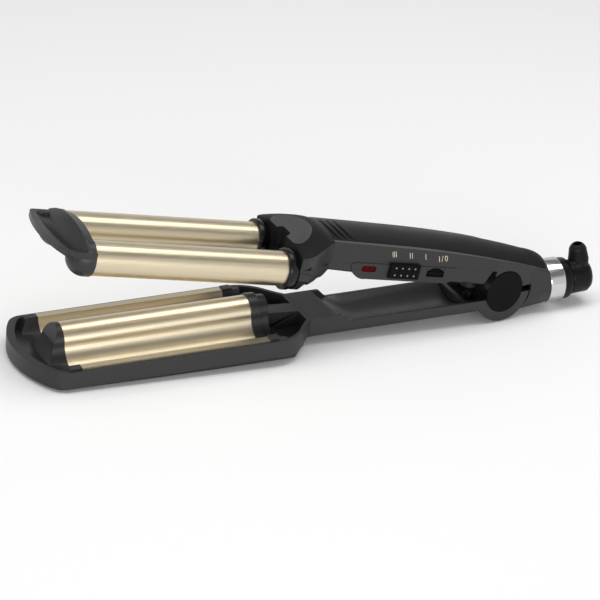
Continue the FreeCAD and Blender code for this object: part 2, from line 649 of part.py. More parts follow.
def tip_cap():
    # ledge with a bowed front lip, a hood over the barrel ends, a finger scoop and two round noses
    rear = -size("cap_reach")
    axis = barrel_height
    low = axis + size("cap_ledge")
    ledge_top = low + size("cap_plate")
    half = size("cap_half_width")
    front = rear - size("cap_lip_reach")
    corner = front + size("cap_sagitta")
    plan = line((corner + 4, -half, low), (rear, -half, low), (rear, half, low), (corner + 4, half, low)) \
        + arc((corner, 3 - half, low), (front, 0, low), (corner, half - 3, low))
    for side in (-1, 1):
        plan += arc((corner + 4, side * half, low), (corner + 1.3, side * (half - 0.7), low),
                    (corner, side * (half - 3), low))
    shape = flat_face(plan).extrude(Vector(0, 0, size("cap_plate")))
    # hood: an arch that rises a little towards the scoop
    crown = axis + size("cap_crown")
    ridge = rear - size("hood_length")
    foot = ridge - 3.8
    arch = size("cap_arch")
    hood = rod(arch, (rear + 6, 0, crown - arch), (rear - 16, 0, crown - arch))
    hood.rotate(Vector(rear, 0, crown), Vector(0, 1, 0), size("cap_rise"))
    hood = hood.common(box(foot - 1, rear, -half, half, low, crown + 20))
    nose_x = rear - size("nose_straight")
    nose_radius = barrel_radius + size("nose_wall")
    noses = []
    for y in (-half_spacing, half_spacing):
        noses.append(rod(nose_radius, (nose_x, y, axis), (rear, y, axis)))
        noses.append(Part.makeSphere(nose_radius, Vector(nose_x, y, axis)))
    noses = [n.common(box(rear - 40, rear, -60, 60, -20, crown)) for n in noses]
    shape = shape.fuse([hood] + noses)
    # scoop for the finger, turned about an upright axis behind the cap
    turn_x = rear - 10 + size("scoop_radius")
    lip = rear - size("cap_lip_reach") + size("cap_rim")
    scoop = line((ridge, 0, crown + 12), (ridge, 0, crown + 1.4)) \
        + arc((ridge, 0, crown + 1.4), (ridge - 1.4, 0, ledge_top + 2.6), (foot, 0, low + 1.6)) \
        + arc((foot, 0, low + 1.6), ((foot + lip) / 2 - 0.3, 0, low + 1.9), (lip, 0, ledge_top + 0.2)) \
        + line((lip, 0, ledge_top + 0.2), (lip, 0, crown + 12), (ridge, 0, crown + 12))
    scoop = flat_face(scoop)
    scoop_half = half - size("cap_rim")
    spread = math.degrees(math.asin((half + 2) / size("scoop_radius")))
    scoop.rotate(Vector(turn_x, 0, 0), Vector(0, 0, 1), -spread)
    scoop = scoop.revolve(Vector(turn_x, 0, 0), Vector(0, 0, 1), 2 * spread)
    shape = shape.cut(scoop.common(box(rear - 40, rear, -60, 60, ledge_top, crown + 12)))
    scoop = scoop.common(box(rear - 40, rear, -scoop_half, scoop_half, low, crown + 12))
    scoop = rounded(scoop, 3.5, lambda e: along_z(e) and e.CenterOfMass.x < foot)
    shape = shape.cut(scoop)
    # hollow that clears the crest of the plate with the iron closed
    crest = crest_radius + size("insert_lift") + 0.5
    middle = crest_z + size("cap_reach") * math.tan(math.radians(size("jaw_travel") - size("open_angle")))
    hollow = flat_face(line((rear + 1, -40, -20), (rear + 1, -40, crown + 1), (rear - 4.0, -40, crown + 1),
                            (rear - 4.0, -40, middle + crest + 0.3), (rear - 8.4, -40, middle + 0.7),
                            (rear - 8.4, -40, -20), (rear + 1, -40, -20))).extrude(Vector(0, 80, 0))
    hollow = hollow.common(rod(crest, (rear + 1, 0, middle), (rear - 20, 0, middle)))
    shape = shape.cut(hollow)
    for y in (-half_spacing, half_spacing):
        shape = shape.cut(rod(barrel_radius + size("seat_gap"), (rear - size("cap_tuck") - 0.1, y, axis),
                              (rear + 1, y, axis)))
    return largest(shape.removeSplitter())


def head_section(x, half, low, foot, side_low, side_top, brow, brow_z, crown_z):
    # one station of the head block: flat foot, round corners, upright side, round brow, bowed top
    def between(a, b, bulge):
        middle = ((a[0] + b[0]) / 2, (a[1] + b[1]) / 2)
        out = (b[1] - a[1], a[0] - b[0])
        return (middle[0] + bulge * out[0], middle[1] + bulge * out[1])

    edges = line((x, -foot, low), (x, foot, low))
    edges += arc((x, -brow, brow_z), (x, 0, crown_z), (x, brow, brow_z))
    for side in (-1, 1):
        corner = between((foot, low), (half, side_low), 0.19)
        round_brow = between((half, side_top), (brow, brow_z), 0.19)
        edges += arc((x, side * foot, low), (x, side * corner[0], corner[1]), (x, side * half, side_low))
        edges += line((x, side * half, side_low), (x, side * half, side_top))
        bend = (x, side * round_brow[0], round_brow[1])
        edges += arc((x, side * half, side_top), bend, (x, side * brow, brow_z))
    return Part.Wire(Part.__sortEdges__(edges))


def head_block():
    # flared block between the barrel roots and the handle
    front = -head_front + size("seat_gap")
    rear = -size("handle_front") - size("seat_gap")
    run = rear - front
    wide = size("head_half_width")
    low, top = size("head_low"), size("head_top")
    middle_half = handle_half + 0.66 * (wide - handle_half)
    crown = crown_height(rear)
    stations = [head_section(front, wide, low, wide - 6.5, low + 8, low + 12, wide - 7.5, top - 0.8, top),
                head_section(front + 0.5 * run, middle_half, low + 4.4, middle_half - 6, low + 10, low + 15,
                             middle_half - 7.5, top + 1.6, (top + crown) / 2),
                head_section(rear, handle_half + 0.2, handle_low(rear), handle_half - 2, handle_low(rear) + 2,
                             edge_height(rear) - 1.5, handle_half - 2.5, edge_height(rear) + 1.8, crown)]
    shape = Part.makeLoft(stations, True, True)
    # round roots that carry the barrels and reach below the block
    for y in (-half_spacing, half_spacing):
        sign = 1 if y > 0 else -1
        shape = shape.fuse([rod(barrel_radius + size("root_wall"), (front, y, barrel_height),
                                (front + size("barrel_tuck"), y, barrel_height)),
                            Part.makeCone(barrel_radius + size("root_wall"), 0.45 * barrel_radius, 0.78 * run,
                                          Vector(front + 0.45 * size("barrel_tuck"), y, barrel_height),
                                          Vector(1, -0.25 * sign, 0.08))])
    # flat oval facet on top, its edge rises to the crown of the handle
    facet = -size("handle_front") - 6
    radius = size("facet_radius")
    cutter = Part.makeCone(radius, radius + 12, 12)
    cutter.rotate(Vector(0, 0, 0), Vector(0, 1, 0), -7.6)
    cutter.translate(Vector(facet - radius, 0, top + 1.4 - radius * math.sin(math.radians(7.6))))
    shape = shape.cut(cutter)
    # pocket between the barrels
    pocket_space = box(front - 1, front + 7.5, -7, 7, barrel_height + 3, top + 9)
    pocket_space = rounded(pocket_space, 4.5, lambda e: abs(e.tangentAt(e.FirstParameter).z) > 0.9
                           and e.CenterOfMass.x > front)
    shape = shape.cut(pocket_space)
    for y in (-half_spacing, half_spacing):
        shape = shape.cut(rod(barrel_radius + size("seat_gap"), (front - 1, y, barrel_height),
                              (front + size("barrel_tuck"), y, barrel_height)))
    # underside cut back for the casing's shoulders and spine with the jaws closed
    gap = size("closing_gap")
    room = case_cavity(-16, rim + 2, gap).common(box(-400, bridge_front - gap, -60, 60, -17, rim + 3))
    relief = case_prism(-15, rim + gap, 0).cut(room).fuse(case_spine(gap, -15))
    relief.rotate(Vector(), Vector(0, 1, 0), size("jaw_travel") - size("open_angle"))
    shape = shape.cut(relief)
    # way for the heater wires, open to the handle
    wires = box(rear - 0.4 * run, rear + 1, 4.3 - handle_half, handle_half - 4.3, handle_low(rear) + 5,
                edge_height(rear) - 4)
    return largest(shape.cut(wires).removeSplitter())


def edge_height(x):
    # top edge of the handle side at a station, falling faster near the hinge
    share = x / size("handle_front") + 1
    return size("edge_front") - size("edge_drop") * share - size("edge_fall") * share ** 4


def crown_height(x):
    return edge_height(x) + size("crown_rise")


def handle_low(x):
    # underside of the handle at a station, it rises gently towards the head
    share = -x / size("handle_front")
    return size("handle_low") + size("handle_sweep") * share ** 1.6


def handle_section(x, half, low, shrink=0):
    # upright sides with a small round at the top edge
    top = edge_height(x) - shrink
    half -= shrink
    edges = line((x, -half, low), (x, half, low)) + line((x, -half, low), (x, -half, top - 1)) \
        + line((x, half, low), (x, half, top - 1))
    edges += arc((x, -half, top - 1), (x, -half + 0.3, top - 0.3), (x, -half + 1, top)) \
        + line((x, -half + 1, top), (x, half - 1, top)) \
        + arc((x, half, top - 1), (x, half - 0.3, top - 0.3), (x, half - 1, top))
    return Part.Wire(Part.__sortEdges__(edges))


def half_width_at(x):
    slope = math.tan(math.radians(size("hinge_taper")))
    return min(handle_half, size("hinge_half_width") - slope * x)


def tail_point(along, y, up):
    angle = math.radians(size("tail_angle"))
    return Vector(size("ring_reach") + along * math.cos(angle) - up * math.sin(angle), y,
                  size("ring_height") + along * math.sin(angle) + up * math.cos(angle))


def tail_section(along, radius, low):
    # part of a circle square to the tail, cut off below, same edges as a handle section
    side = math.sqrt(max(radius ** 2 - low ** 2, 0.01))
    knee_angle = math.radians(24)
    knee_y, knee_up = radius * math.cos(knee_angle), radius * math.sin(knee_angle)
    brow_y, brow_up = radius * math.cos(tail_brow), radius * math.sin(tail_brow)
    mid = math.radians(38)
    edges = [Part.makeLine(tail_point(along, -side, low), tail_point(along, side, low))]
    for sign in (-1, 1):
        low_mid = math.asin(low / radius) / 2 + knee_angle / 2
        edges.append(Part.Arc(tail_point(along, sign * side, low),
                              tail_point(along, sign * radius * math.cos(low_mid), radius * math.sin(low_mid)),
                              tail_point(along, sign * knee_y, knee_up)).toShape())
        edges.append(Part.Arc(tail_point(along, sign * knee_y, knee_up),
                              tail_point(along, sign * radius * math.cos(mid), radius * math.sin(mid)),
                              tail_point(along, sign * brow_y, brow_up)).toShape())
    edges.append(Part.Arc(tail_point(along, -brow_y, brow_up), tail_point(along, 0, radius),
                          tail_point(along, brow_y, brow_up)).toShape())
    return Part.Wire(Part.__sortEdges__(edges))


def upper_shell():
    seam = size("seam_height")
    wall_thick = size("handle_wall")
    outer = handle_body(0, seam, 0)
    inner = handle_body(wall_thick, seam - 1, 1)
    shape = outer.cut(inner)
    # clear of the hinge cap and of the ear
    cap = size("cap_disc_radius") + size("hinge_gap")
    shape = shape.cut(rod(cap, (0, -40, 0), (0, 40, 0)))
    shape = shape.cut(ear_sweep())
    shape = shape.cut(panel_solid(size("seat_gap")))
    return largest(shape)


def handle_body(shrink, seam, extra):
    # solid of the handle from head to chrome ring, seam is its lower face ahead of the hinge
    x0 = -size("handle_front") - extra
    knee = neck_start
    rear_low = -2.6
    step = -9.4
    y = -handle_half + shrink
    stations = [x0, 0.79 * x0, 0.57 * x0, 0.38 * x0, 0.19 * x0, -3, knee]
    top = [(x, y, edge_height(x) - shrink) for x in stations]
    side = arc(*top[0:3]) + arc(*top[2:5]) + arc(*top[4:7])
    side += line(top[6], (knee, y, rear_low), (step, y, rear_low),
                                                                 (step, y, seam), (x0, y, seam), top[0])
    body = flat_face(side).extrude(Vector(0, -2 * y, 0))
    body = body.cut(side_wedge(size("hinge_half_width") - shrink, step, 40, -40, 40))
    ring = size("ring_radius") - 0.5
    neck = Part.makeLoft([handle_section(knee, half_width_at(knee), rear_low, shrink),
                          tail_section(extra, ring - shrink, 0.0)], True, True)
    return body.fuse(neck).removeSplitter()


def ear_sweep():
    # room for the ear of the lower arm over the whole travel
    radius = size("lobe_radius") + size("lobe_gap")
    disc = rod(radius, (0, -40, 0), (0, 40, 0))
    half = Part.makeBox(80, 80, 40, Vector(-40, -40, -40))
    half.rotate(Vector(0, 0, 0), Vector(0, 1, 0), -size("open_angle") - 3.0)
    return disc.common(half)


def top_inlay():
    # glossy crown on the upper shell, with three bowed grip grooves at the head
    gap = size("seat_gap")
    start = -size("handle_front")
    end = size("inlay_end")

    knee = neck_start
    ring = size("ring_radius") - 0.5
    brow = tail_point(0, ring * math.cos(tail_brow), ring * math.sin(tail_brow))

    def station(x, drop):
        # half width, foot and top of the crown, which dives to the ring over the neck
        half, base, top = half_width_at(x), edge_height(x), crown_height(x)
        if x > knee:
            along = (x - knee) / (brow.x - knee)
            half = half_width_at(knee) + along * (brow.y - half_width_at(knee))
            base = edge_height(knee) + along * (brow.z - edge_height(knee))
            share = min((x - knee) / (end - knee), 1)
            top = crown_height(knee) - (crown_height(knee) - brow.z - 2.4) * (1 - math.sqrt(1 - share ** 2))
        half, base = half - 0.4, base - 1.0
        return Part.Wire(line((x, -half, base), (x, half, base))
                         + arc((x, half, base), (x, 0, top - drop), (x, -half, base)))

    def lens(drop, x0):
        places = [x0, 0.8 * start, 0.6 * start, 0.4 * start, 0.2 * start, 0.02 * start, 0.5 * knee, knee]
        places += [knee + share * (end - knee) for share in (0.45, 0.75, 0.93, 1.0)]
        return Part.makeLoft([station(x, drop) for x in places], True, True)

    shape = lens(0, start)
    inner = lens(0.8, start - 0.5)
    radius = 46.0
    for i in range(3):
        middle = start - 0.8 + i * size("rib_pitch")
        centre = Vector(middle + radius, 0, 15)
        ring = Part.makeCylinder(radius + size("rib_width") / 2, 30, centre) \
            .cut(Part.makeCylinder(radius - size("rib_width") / 2, 30, centre))
        ring = ring.common(box(middle - 2, middle + 8, 3.0 - handle_half, handle_half - 3.0, 10, 50))
        shape = shape.cut(ring.cut(inner))
    handle = handle_body(0, size("seam_height"), 1)
    handle.translate(Vector(0, 0, gap))
    return largest(shape.cut(handle))


def handle_base():
    # tray that closes the handle from below, ending in a slant ahead of the hinge cap
    seam = size("seam_height") - size("seat_gap")
    start = -size("handle_front")
    stop = -1.3 * size("cap_disc_radius")
    wall_thick = size("handle_wall")

    def tray(x0, x1, lean, half, lift, top):
        bottom = [(x, -half, handle_low(x) + lift) for x in (x0, (x0 + x1) / 2, x1)]
        face = flat_face(arc(*bottom) + line(bottom[2], (x1 + lean, -half, top), (x0, -half, top), bottom[0]))
        return face.extrude(Vector(0, 2 * half, 0))

    outer = tray(start, stop, 4.0, handle_half, 0, seam)
    outer = rounded(outer, 2.2, lambda e: abs(e.CenterOfMass.y) > handle_half - 0.01 and e.Length > 50
                    and e.CenterOfMass.z < seam - 4)
    inner = tray(start + wall_thick, stop - wall_thick, 3.6, handle_half - wall_thick, wall_thick, seam + 1)
    shape = outer.cut(inner)
    shape = shape.cut(panel_solid(size("seat_gap")))
    # window behind the controls and a well in the floor for the board
    x0, x1 = control_span()
    sill = size("handle_low") + 2.2 + wall_thick
    shape = shape.cut(box(x0, x1, -handle_half, 3 - handle_half, sill, seam + 1))
    well = tray(start + wall_thick, stop - wall_thick, 3.6, handle_half - wall_thick, 0.5 * wall_thick,
                seam + 1)
    shape = shape.cut(well.common(box(x0 - 3, x1 + 3, -handle_half, 8.5 - handle_half, 0, seam)))
    for x in base_screw_places():
        low = handle_low(x)
        post = rod(3.2, (x, 0, low + 1), (x, 0, edge_height(x) - wall_thick - 1.5))
        shape = shape.fuse(post)
        shape = shape.cut(rod(size("screw_radius") + 0.05, (x, 0, low - 2), (x, 0, 40)))
        shape = shape.cut(rod(size("screw_head") + 0.2, (x, 0, low - 2), (x, 0, low + 1.4)))
    return largest(shape.removeSplitter())


def control_span():
    start = -size("lens_reach") - size("lens_length") / 2 - 1.2
    return (start, -size("rocker_reach") + size("rocker_length") / 2 + 1.5)


def base_screw_places():
    return [-0.926 * size("handle_front"), -0.298 * size("handle_front")]


def base_screws():
    group = []
    for x in base_screw_places():
        low = handle_low(x)
        head = rod(size("screw_head"), (x, 0, low + 0.3), (x, 0, low + 1.4))
        top = edge_height(x) - size("handle_wall") - 1.6
        shank = rod(size("screw_radius"), (x, 0, low + 1.3), (x, 0, top))
        group.append(head.fuse(shank).removeSplitter())
    return Part.makeCompound(group)


def panel_outline(grow):
    # side view of the control panel: straight top, round belly at the front, round rear corner
    x0 = -size("panel_front") - grow
    x1 = x0 + size("panel_length") + 2 * grow
    top = size("seam_height") + 0.8 + grow
    low = top - size("panel_height") - 2 * grow
    y = -handle_half
    edges = line((x0 + 3, y, top), (x1, y, top), (x1, y, top - 3))
    edges += arc((x1, y, top - 3), (x1 - 2.2, y, low + 1.9), (x1 - 8.5, y, low))
    edges += line((x1 - 8.5, y, low), (x0 + 11, y, low))
    edges += arc((x0 + 11, y, low), (x0 + 3.8, y, low + 1.9), (x0 + 0.3, y, top - 2.6))
    edges += arc((x0 + 0.3, y, top - 2.6), (x0 + 0.8, y, top - 0.6), (x0 + 3, y, top))
    return flat_face(edges)


def panel_solid(grow):
    face = panel_outline(grow)
    face.translate(Vector(0, -size("panel_proud"), 0))
    return face.extrude(Vector(0, size("panel_thick") + grow, 0))


def control_panel():
    shape = panel_solid(0)
    z = size("control_height") - 0.4
    gap = size("control_gap")
    y0, y1 = -handle_half - 2, -handle_half + 4
    shape = shape.cut(lens_solid(0, y0, y1))
    x = -size("slider_reach")
    reach = size("slider_length") / 2 - 1.5
    shape = shape.cut(box(x - reach, x + reach, y0, y1, z - 2, z + 2))
    half = size("rocker_length") / 2 + gap
    shape = shape.cut(box(-size("rocker_reach") - half, -size("rocker_reach") + half, y0, y1,
                          z - size("rocker_height") / 2 - gap, z + size("rocker_height") / 2 + gap))
    return shape


def lens_solid(gap, y0, y1):
    # long lens with round ends
    x, z = -size("lens_reach"), size("control_height") - 0.4
    half, high = size("lens_length") / 2 - gap, size("lens_height") / 2 - gap
    shape = box(x - half, x + half, y0, y1, z - high, z + high)
    return rounded(shape, 0.84 * high, lambda e: abs(e.tangentAt(e.FirstParameter).y) > 0.9)


def heat_slider():
    # flat thumb slider with its stem
    x = -size("slider_reach")
    z = size("control_height") - 0.4
    half, high = size("slider_length") / 2, size("slider_height") / 2
    face = -handle_half - size("panel_proud") - 0.2
    proud = face - size("slider_proud")
    block = box(x - half, x + half, proud, face, z - high, z + high)
    block = block.makeChamfer(0.5, [e for e in block.Edges if abs(e.CenterOfMass.y - proud) < 0.01])
    stem = box(x - 3.6, x + 3.6, face - 0.5, -handle_half + 4.0, z - 1.6, z + 1.6)
    return block.fuse(stem).removeSplitter()


def power_rocker():
    # rocker drawn level about its round pivot, its two pads fall away to the middle
    half, high = size("rocker_length") / 2, size("rocker_height") / 2
    face = line((-half, -1.9, -high), (0, -1.1, -high), (half, -1.9, -high), (half, 0.4, -high),
                (2, 1.2, -high), (-2, 1.2, -high), (-half, 0.4, -high), (-half, -1.9, -high))
    body = flat_face(face).extrude(Vector(0, 0, 2 * high))
    return body.fuse(rod(size("rocker_pivot"), (0, 0, -high), (0, 0, high))).removeSplitter()


def circuit_board():
    inner = -handle_half + 6.2
    low = size("handle_low") + 2.2 + size("handle_wall")
    x0, x1 = control_span()
    return box(x0 - 2, x1 + 2, inner, inner + 1.6, low + 0.3, size("seam_height") + 5.5)


def slide_switch():
    # switch body on the board, its fork takes the slider's stem
    inner = -handle_half + 6.15
    z = size("control_height") - 0.4
    x = -size("slider_reach")
    shape = box(x - 11, x + 11, inner - 3.6, inner, z - 2.9, z + 2.9)
    reach = 3.6 + size("slider_travel") + 0.4
    slot = box(x - reach, x + reach, inner - 4, inner - 1.4,
               z - 1.95, z + 1.95)
    return shape.cut(slot)


def power_switch():
    inner = -handle_half + 6.15
    z = size("control_height") - 0.4
    x = -size("rocker_reach")
    return box(x - 6, x + 6, inner - 1.9, inner, z - 2.9, z + 2.9)


def hinge_hub():
    # hub on the pin with the arm that carries it under the shell's roof
    ear = size("ear_inside") - size("hub_gap")
    hub = rod(size("hub_radius"), (0, -ear, 0), (0, ear, 0))
    roof = edge_height(8) - size("handle_wall") - 0.6
    web = box(-8, 8, -ear, ear, 0, roof)
    shape = hub.fuse(web)
    shape = shape.cut(rod(size("pin_radius") + size("pin_gap"), (0, -20, 0), (0, 20, 0)))
    return shape.removeSplitter()


def spring_cup():
    # stepped cup under the handle that takes the upper end of the spring
    middle = size("open_angle") - size("jaw_travel") / 2
    lean = math.radians(middle)
    head = lower_floor + wall + 0.9 * size("spring_length")
    place = -size("spring_reach") * math.cos(lean) - head * math.sin(lean)
    outer = size("cup_radius")
    parts = [rod(outer, (0, 0, -size("cup_depth") * 0.52), (0, 0, 6)),
             rod(outer - 0.5, (0, 0, -size("cup_depth")), (0, 0, 0))]
    cup = parts[0].fuse(parts[1]).cut(rod(outer - 1.1, (0, 0, -20), (0, 0, size("cup_roof"))))
    cup.rotate(Vector(0, 0, 0), Vector(0, 1, 0), -middle)
    cup.translate(Vector(place, 0, handle_low(place)))
    cup = cup.cut(rod(size("hub_radius") + size("hub_gap"), (0, -20, 0), (0, 20, 0)))
    # the cup hangs from the base and ends at its underside
    bottom = [(x, -20, handle_low(x) - size("seat_gap")) for x in (-40, -20, -6)]
    above = flat_face(arc(*bottom) + line(bottom[2], (-6, -20, 30), (-40, -20, 30), bottom[0]))
    return largest(cup.cut(above.extrude(Vector(0, 40, 0))))


# Build the lower arm

make("lower_shell", lower_shell(), lower_arm)
make("lower_handle", lower_handle(), lower_arm)
make("bottom_cover", bottom_cover(), lower_arm)
make("cover_screws", cover_screws(), lower_arm)
make("wave_plate", wave_plate(), lower_arm)
make("tip_insert", tip_insert(), lower_arm)
make("plate_end_frame", plate_end_frame(), lower_arm)
make("plate_heater", plate_heater(), lower_arm)
make("heater_clamp", heater_clamp(), lower_arm)

# Build the upper arm

make("tip_cap", tip_cap(), upper_arm)
make("head_block", head_block(), upper_arm)
make("upper_shell", upper_shell(), upper_arm)
make("top_inlay", top_inlay(), upper_arm)
make("handle_base", handle_base(), upper_arm)
make("base_screws", base_screws(), upper_arm)
make("control_panel", control_panel(), upper_arm)
lens_face = -handle_half - size("panel_proud") + 0.7
make("led_lens", lens_solid(size("seat_gap"), lens_face, lens_face + 3), upper_arm)
make("heat_slider", heat_slider(), upper_arm)
make("circuit_board", circuit_board(), upper_arm)
make("slide_switch", slide_switch(), upper_arm)
make("power_switch", power_switch(), upper_arm)
make("hinge_hub", hinge_hub(), upper_arm)
make("spring_cup", spring_cup(), upper_arm)

for side, name in ((-1, "left"), (1, "right")):
    y = side * half_spacing
    barrel = new_body(name + "_barrel", upper_arm, -size("cap_reach") - size("cap_tuck"), y, barrel_height)
    sketch = new_sketch(barrel, "YZ_Plane", name + "_barrel_ring")
    draw_circle(sketch, "barrel_diameter / 2")
    draw_circle(sketch, "barrel_diameter / 2 - barrel_wall")
    pad(barrel, sketch, "cap_reach - root_reach + collar_length + cap_tuck + barrel_tuck")

    core = new_body(name + "_heater_core", upper_arm, -size("cap_reach") + 4, y, barrel_height)
    sketch = new_sketch(core, "YZ_Plane", name + "_core_round")
    draw_circle(sketch, "barrel_diameter / 2 - barrel_wall - core_gap")
    pad(core, sketch, "cap_reach - root_reach - 8")

    collar = new_body(name + "_collar", upper_arm, -size("root_reach"), y, barrel_height)
    sketch = new_sketch(collar, "XZ_Plane", name + "_collar_half")
    bore = "barrel_diameter / 2 + seat_gap"
    draw_outline(sketch, [
        ("0", bore), ("0", "barrel_diameter / 2 + 0.5 * collar_lip"),
        ("0.6", "barrel_diameter / 2 + collar_lip"),
        ("0.52 * collar_length", "barrel_diameter / 2 + collar_lip"),
        ("0.60 * collar_length", "barrel_diameter / 2 + 0.55 * collar_lip"),
        ("collar_length - seat_gap", "barrel_diameter / 2 + 0.55 * collar_lip"),
        ("collar_length - seat_gap", bore)])
    revolve(collar, sketch)

make("power_rocker", power_rocker(), upper_arm.multiply(
    Placement(Vector(-size("rocker_reach"), -handle_half + 1.6, size("control_height") - 0.4),
              Rotation(Vector(0, 0, 1), -size("rocker_tip")))))

# Hinge pin and its two caps

pin = new_body("hinge_pin", lower_arm, 0, 0, 0)
sketch = new_sketch(pin, "XZ_Plane", "pin_round")
draw_circle(sketch, "pin_radius")
pad(pin, sketch, "2 * hinge_half_width - 2", both=True)


def hinge_cap(side):
    # disc over the ear, its face follows the taper of the handle side
    outer = size("hinge_half_width") + size("cap_disc_proud")
    disc = rod(size("cap_disc_radius"), (0, side * 12, 0), (0, side * 30, 0))
    disc = disc.cut(side_wedge(outer, -40, 40, -40, 40))
    slope = math.tan(math.radians(size("hinge_taper")))
    seat = size("hinge_half_width") + size("seat_gap")
    far = 40
    face = flat_face(line((-far, side * (seat + slope * far), -40), (far, side * (seat - slope * far), -40),
                          (far, 0, -40), (-far, 0, -40), (-far, side * (seat + slope * far), -40)))
    return disc.cut(face.extrude(Vector(0, 0, 80)))


make("left_hinge_cap", hinge_cap(-1), lower_arm)
make("right_hinge_cap", hinge_cap(1), lower_arm)


# Lower half of the tail under the neck

def tail_base():
    ring = size("ring_radius") - 0.5
    gap = size("seat_gap")
    knee = neck_start
    low = -15.6
    top = -2.6 - gap
    half = half_width_at(knee) - 0.2
    shoulder = 0.78 * half
    front = line((knee, -half, top), (knee, half, top))
    rear = [Part.makeLine(tail_point(0, -ring, -gap), tail_point(0, ring, -gap))]
    split = math.radians(48)
    for side in (-1, 1):
        flank = (knee, side * 0.985 * half, 0.55 * low)
        front += arc((knee, side * half, top), flank, (knee, side * shoulder, 0.84 * low))
        rear.append(Part.Arc(tail_point(0, side * ring, -gap),
                             tail_point(0, side * ring * math.cos(split / 2), -ring * math.sin(split / 2)),
                             tail_point(0, side * ring * math.cos(split), -ring * math.sin(split))).toShape())
    front += arc((knee, -shoulder, 0.84 * low), (knee, 0, low), (knee, shoulder, 0.84 * low))
    rear.append(Part.Arc(tail_point(0, -ring * math.cos(split), -ring * math.sin(split)), tail_point(0, 0, -ring),
                         tail_point(0, ring * math.cos(split), -ring * math.sin(split))).toShape())
    wires = [Part.Wire(Part.__sortEdges__(edges)) for edges in (front, rear)]
    shape = Part.makeLoft(wires, True, True)
    shape = shape.cut(ear_sweep())
    return largest(shape.cut(rod(size("lobe_radius") + size("lobe_gap"), (0, -40, 0), (0, 40, 0))))


def strain_relief():
    # stubby boot with a round top, leaning a little towards the handle
    height = size("boot_height")
    foot = size("boot_radius")
    top = foot - 0.8
    brow = height - top
    profile = line((0, 0, height), (0, 0, -3), (foot, 0, -3), (foot - 0.3, 0, 0.25 * height), (top, 0, brow))
    profile += arc((top, 0, brow), (0.7071 * top, 0, brow + 0.7071 * top), (0, 0, height))
    shape = flat_face(profile).revolve(Vector(), Vector(0, 0, 1), 360)
    shape.rotate(Vector(), Vector(0, 1, 0), -size("boot_lean"))
    shape = shape.common(box(-20, 20, -20, 20, 0, 40))
    return shape.cut(rod(size("cord_radius"), (0, 0, -1), (0, 0, height + 2)))


make("tail_base", tail_base(), upper_arm)

ring = new_body("chrome_ring", tail)
sketch = new_sketch(ring, "XZ_Plane", "ring_half")
draw_outline(sketch, [("seat_gap", "swivel_radius - 2"), ("seat_gap", "ring_radius - 0.5"),
                      ("0.7", "ring_radius"), ("ring_length - 0.7", "ring_radius"),
                      ("ring_length", "ring_radius - 0.6"),
                      ("ring_length", "swivel_radius - 2")])
revolve(ring, sketch)

collar = new_body("end_collar", tail, size("ring_length"))
sketch = new_sketch(collar, "XZ_Plane", "end_half")
draw_outline(sketch, [("seat_gap", "swivel_radius - 3"), ("seat_gap", "ring_radius - 0.6"),
                      ("collar_end_length - 1.2", "ring_radius - 1.1"),
                      ("collar_end_length", "ring_radius - 2.2"),
                      ("collar_end_length", "swivel_radius - 3")])
revolve(collar, sketch)

# Swivel elbow with its spigot inside the tail, and the boot on top of it

swivel = new_body("swivel_body", tail, size("ring_length") + size("collar_end_length"))
sketch = new_sketch(swivel, "XZ_Plane", "swivel_half")
draw_outline(sketch, [
    ("-collar_end_length - 3", "0"), ("-collar_end_length - 3", "swivel_radius - 3 - swivel_gap"),
    ("swivel_gap", "swivel_radius - 3 - swivel_gap"), ("swivel_gap", "swivel_radius"),
    ("swivel_length - 3", "swivel_radius - 0.5"), ("swivel_length - 0.8", "swivel_radius - 2"),
    ("swivel_length", "swivel_radius - 4.2"), ("swivel_length", "0")])
revolve(swivel, sketch)
sketch = new_sketch(swivel, "XY_Plane", "swivel_neck")
draw_circle(sketch, "boot_radius", "swivel_length / 2 + 0.4", "0")
pad(swivel, sketch, "swivel_radius + 0.6")
sketch = new_sketch(swivel, "XY_Plane", "cord_way")
draw_circle(sketch, "cord_radius", "swivel_length / 2 + 0.4", "0")
pocket(swivel, sketch, "swivel_radius + 8", back=True)

make("strain_relief", strain_relief(), tail.multiply(Placement(
    Vector(size("ring_length") + size("collar_end_length") + size("swivel_length") / 2 + 0.4, 0,
           size("swivel_radius") + 0.6 + size("seat_gap")), Rotation())))

# Return spring between the lower well and the upper base

def return_spring():
    # turns as arcs that touch end to end, two to each half turn
    radius = size("spring_radius")
    wire = size("spring_wire")
    bottom = lower_floor + wall + wire / 2 + size("seat_gap")
    count = int(round(2 * size("spring_turns")))
    pitch = size("spring_length") / size("spring_turns")
    ends = []
    for i in range(count + 1):
        angle = math.pi * i
        place = Vector(radius * math.cos(angle), radius * math.sin(angle), bottom + pitch * i / 2)
        heading = Vector(-radius * math.sin(angle), radius * math.cos(angle), pitch / (2 * math.pi))
        ends.append((place, heading.normalize()))
    path = []
    for (start, first), (stop, last) in zip(ends, ends[1:]):
        span = stop - start
        total = first + last
        along = span.dot(total)
        spread = 2 * (1 - first.dot(last))
        reach = (math.sqrt(along ** 2 + spread * span.dot(span)) - along) / spread
        middle = (start + first * reach + stop - last * reach) * 0.5
        for a, corner, b in ((start, start + first * reach, middle), (middle, stop - last * reach, stop)):
            chord = (a + b) * 0.5
            sine = (b - a).Length / (2 * reach)
            arc_radius = reach * sine / math.sqrt(1 - sine ** 2)
            outward = (corner - chord).normalize()
            path.append(Part.Arc(a, chord + outward * (arc_radius * (1 - sine)), b).toShape())
    section = Part.Wire(Part.makeCircle(wire / 2, ends[0][0], ends[0][1]))
    spring = Part.Wire(path).makePipeShell([section], True, False)
    print("return spring least gap between turns", round(pitch - wire, 3))
    spring.translate(Vector(-size("spring_reach"), 0, 0))
    return spring


make("return_spring", return_spring(), lower_arm)

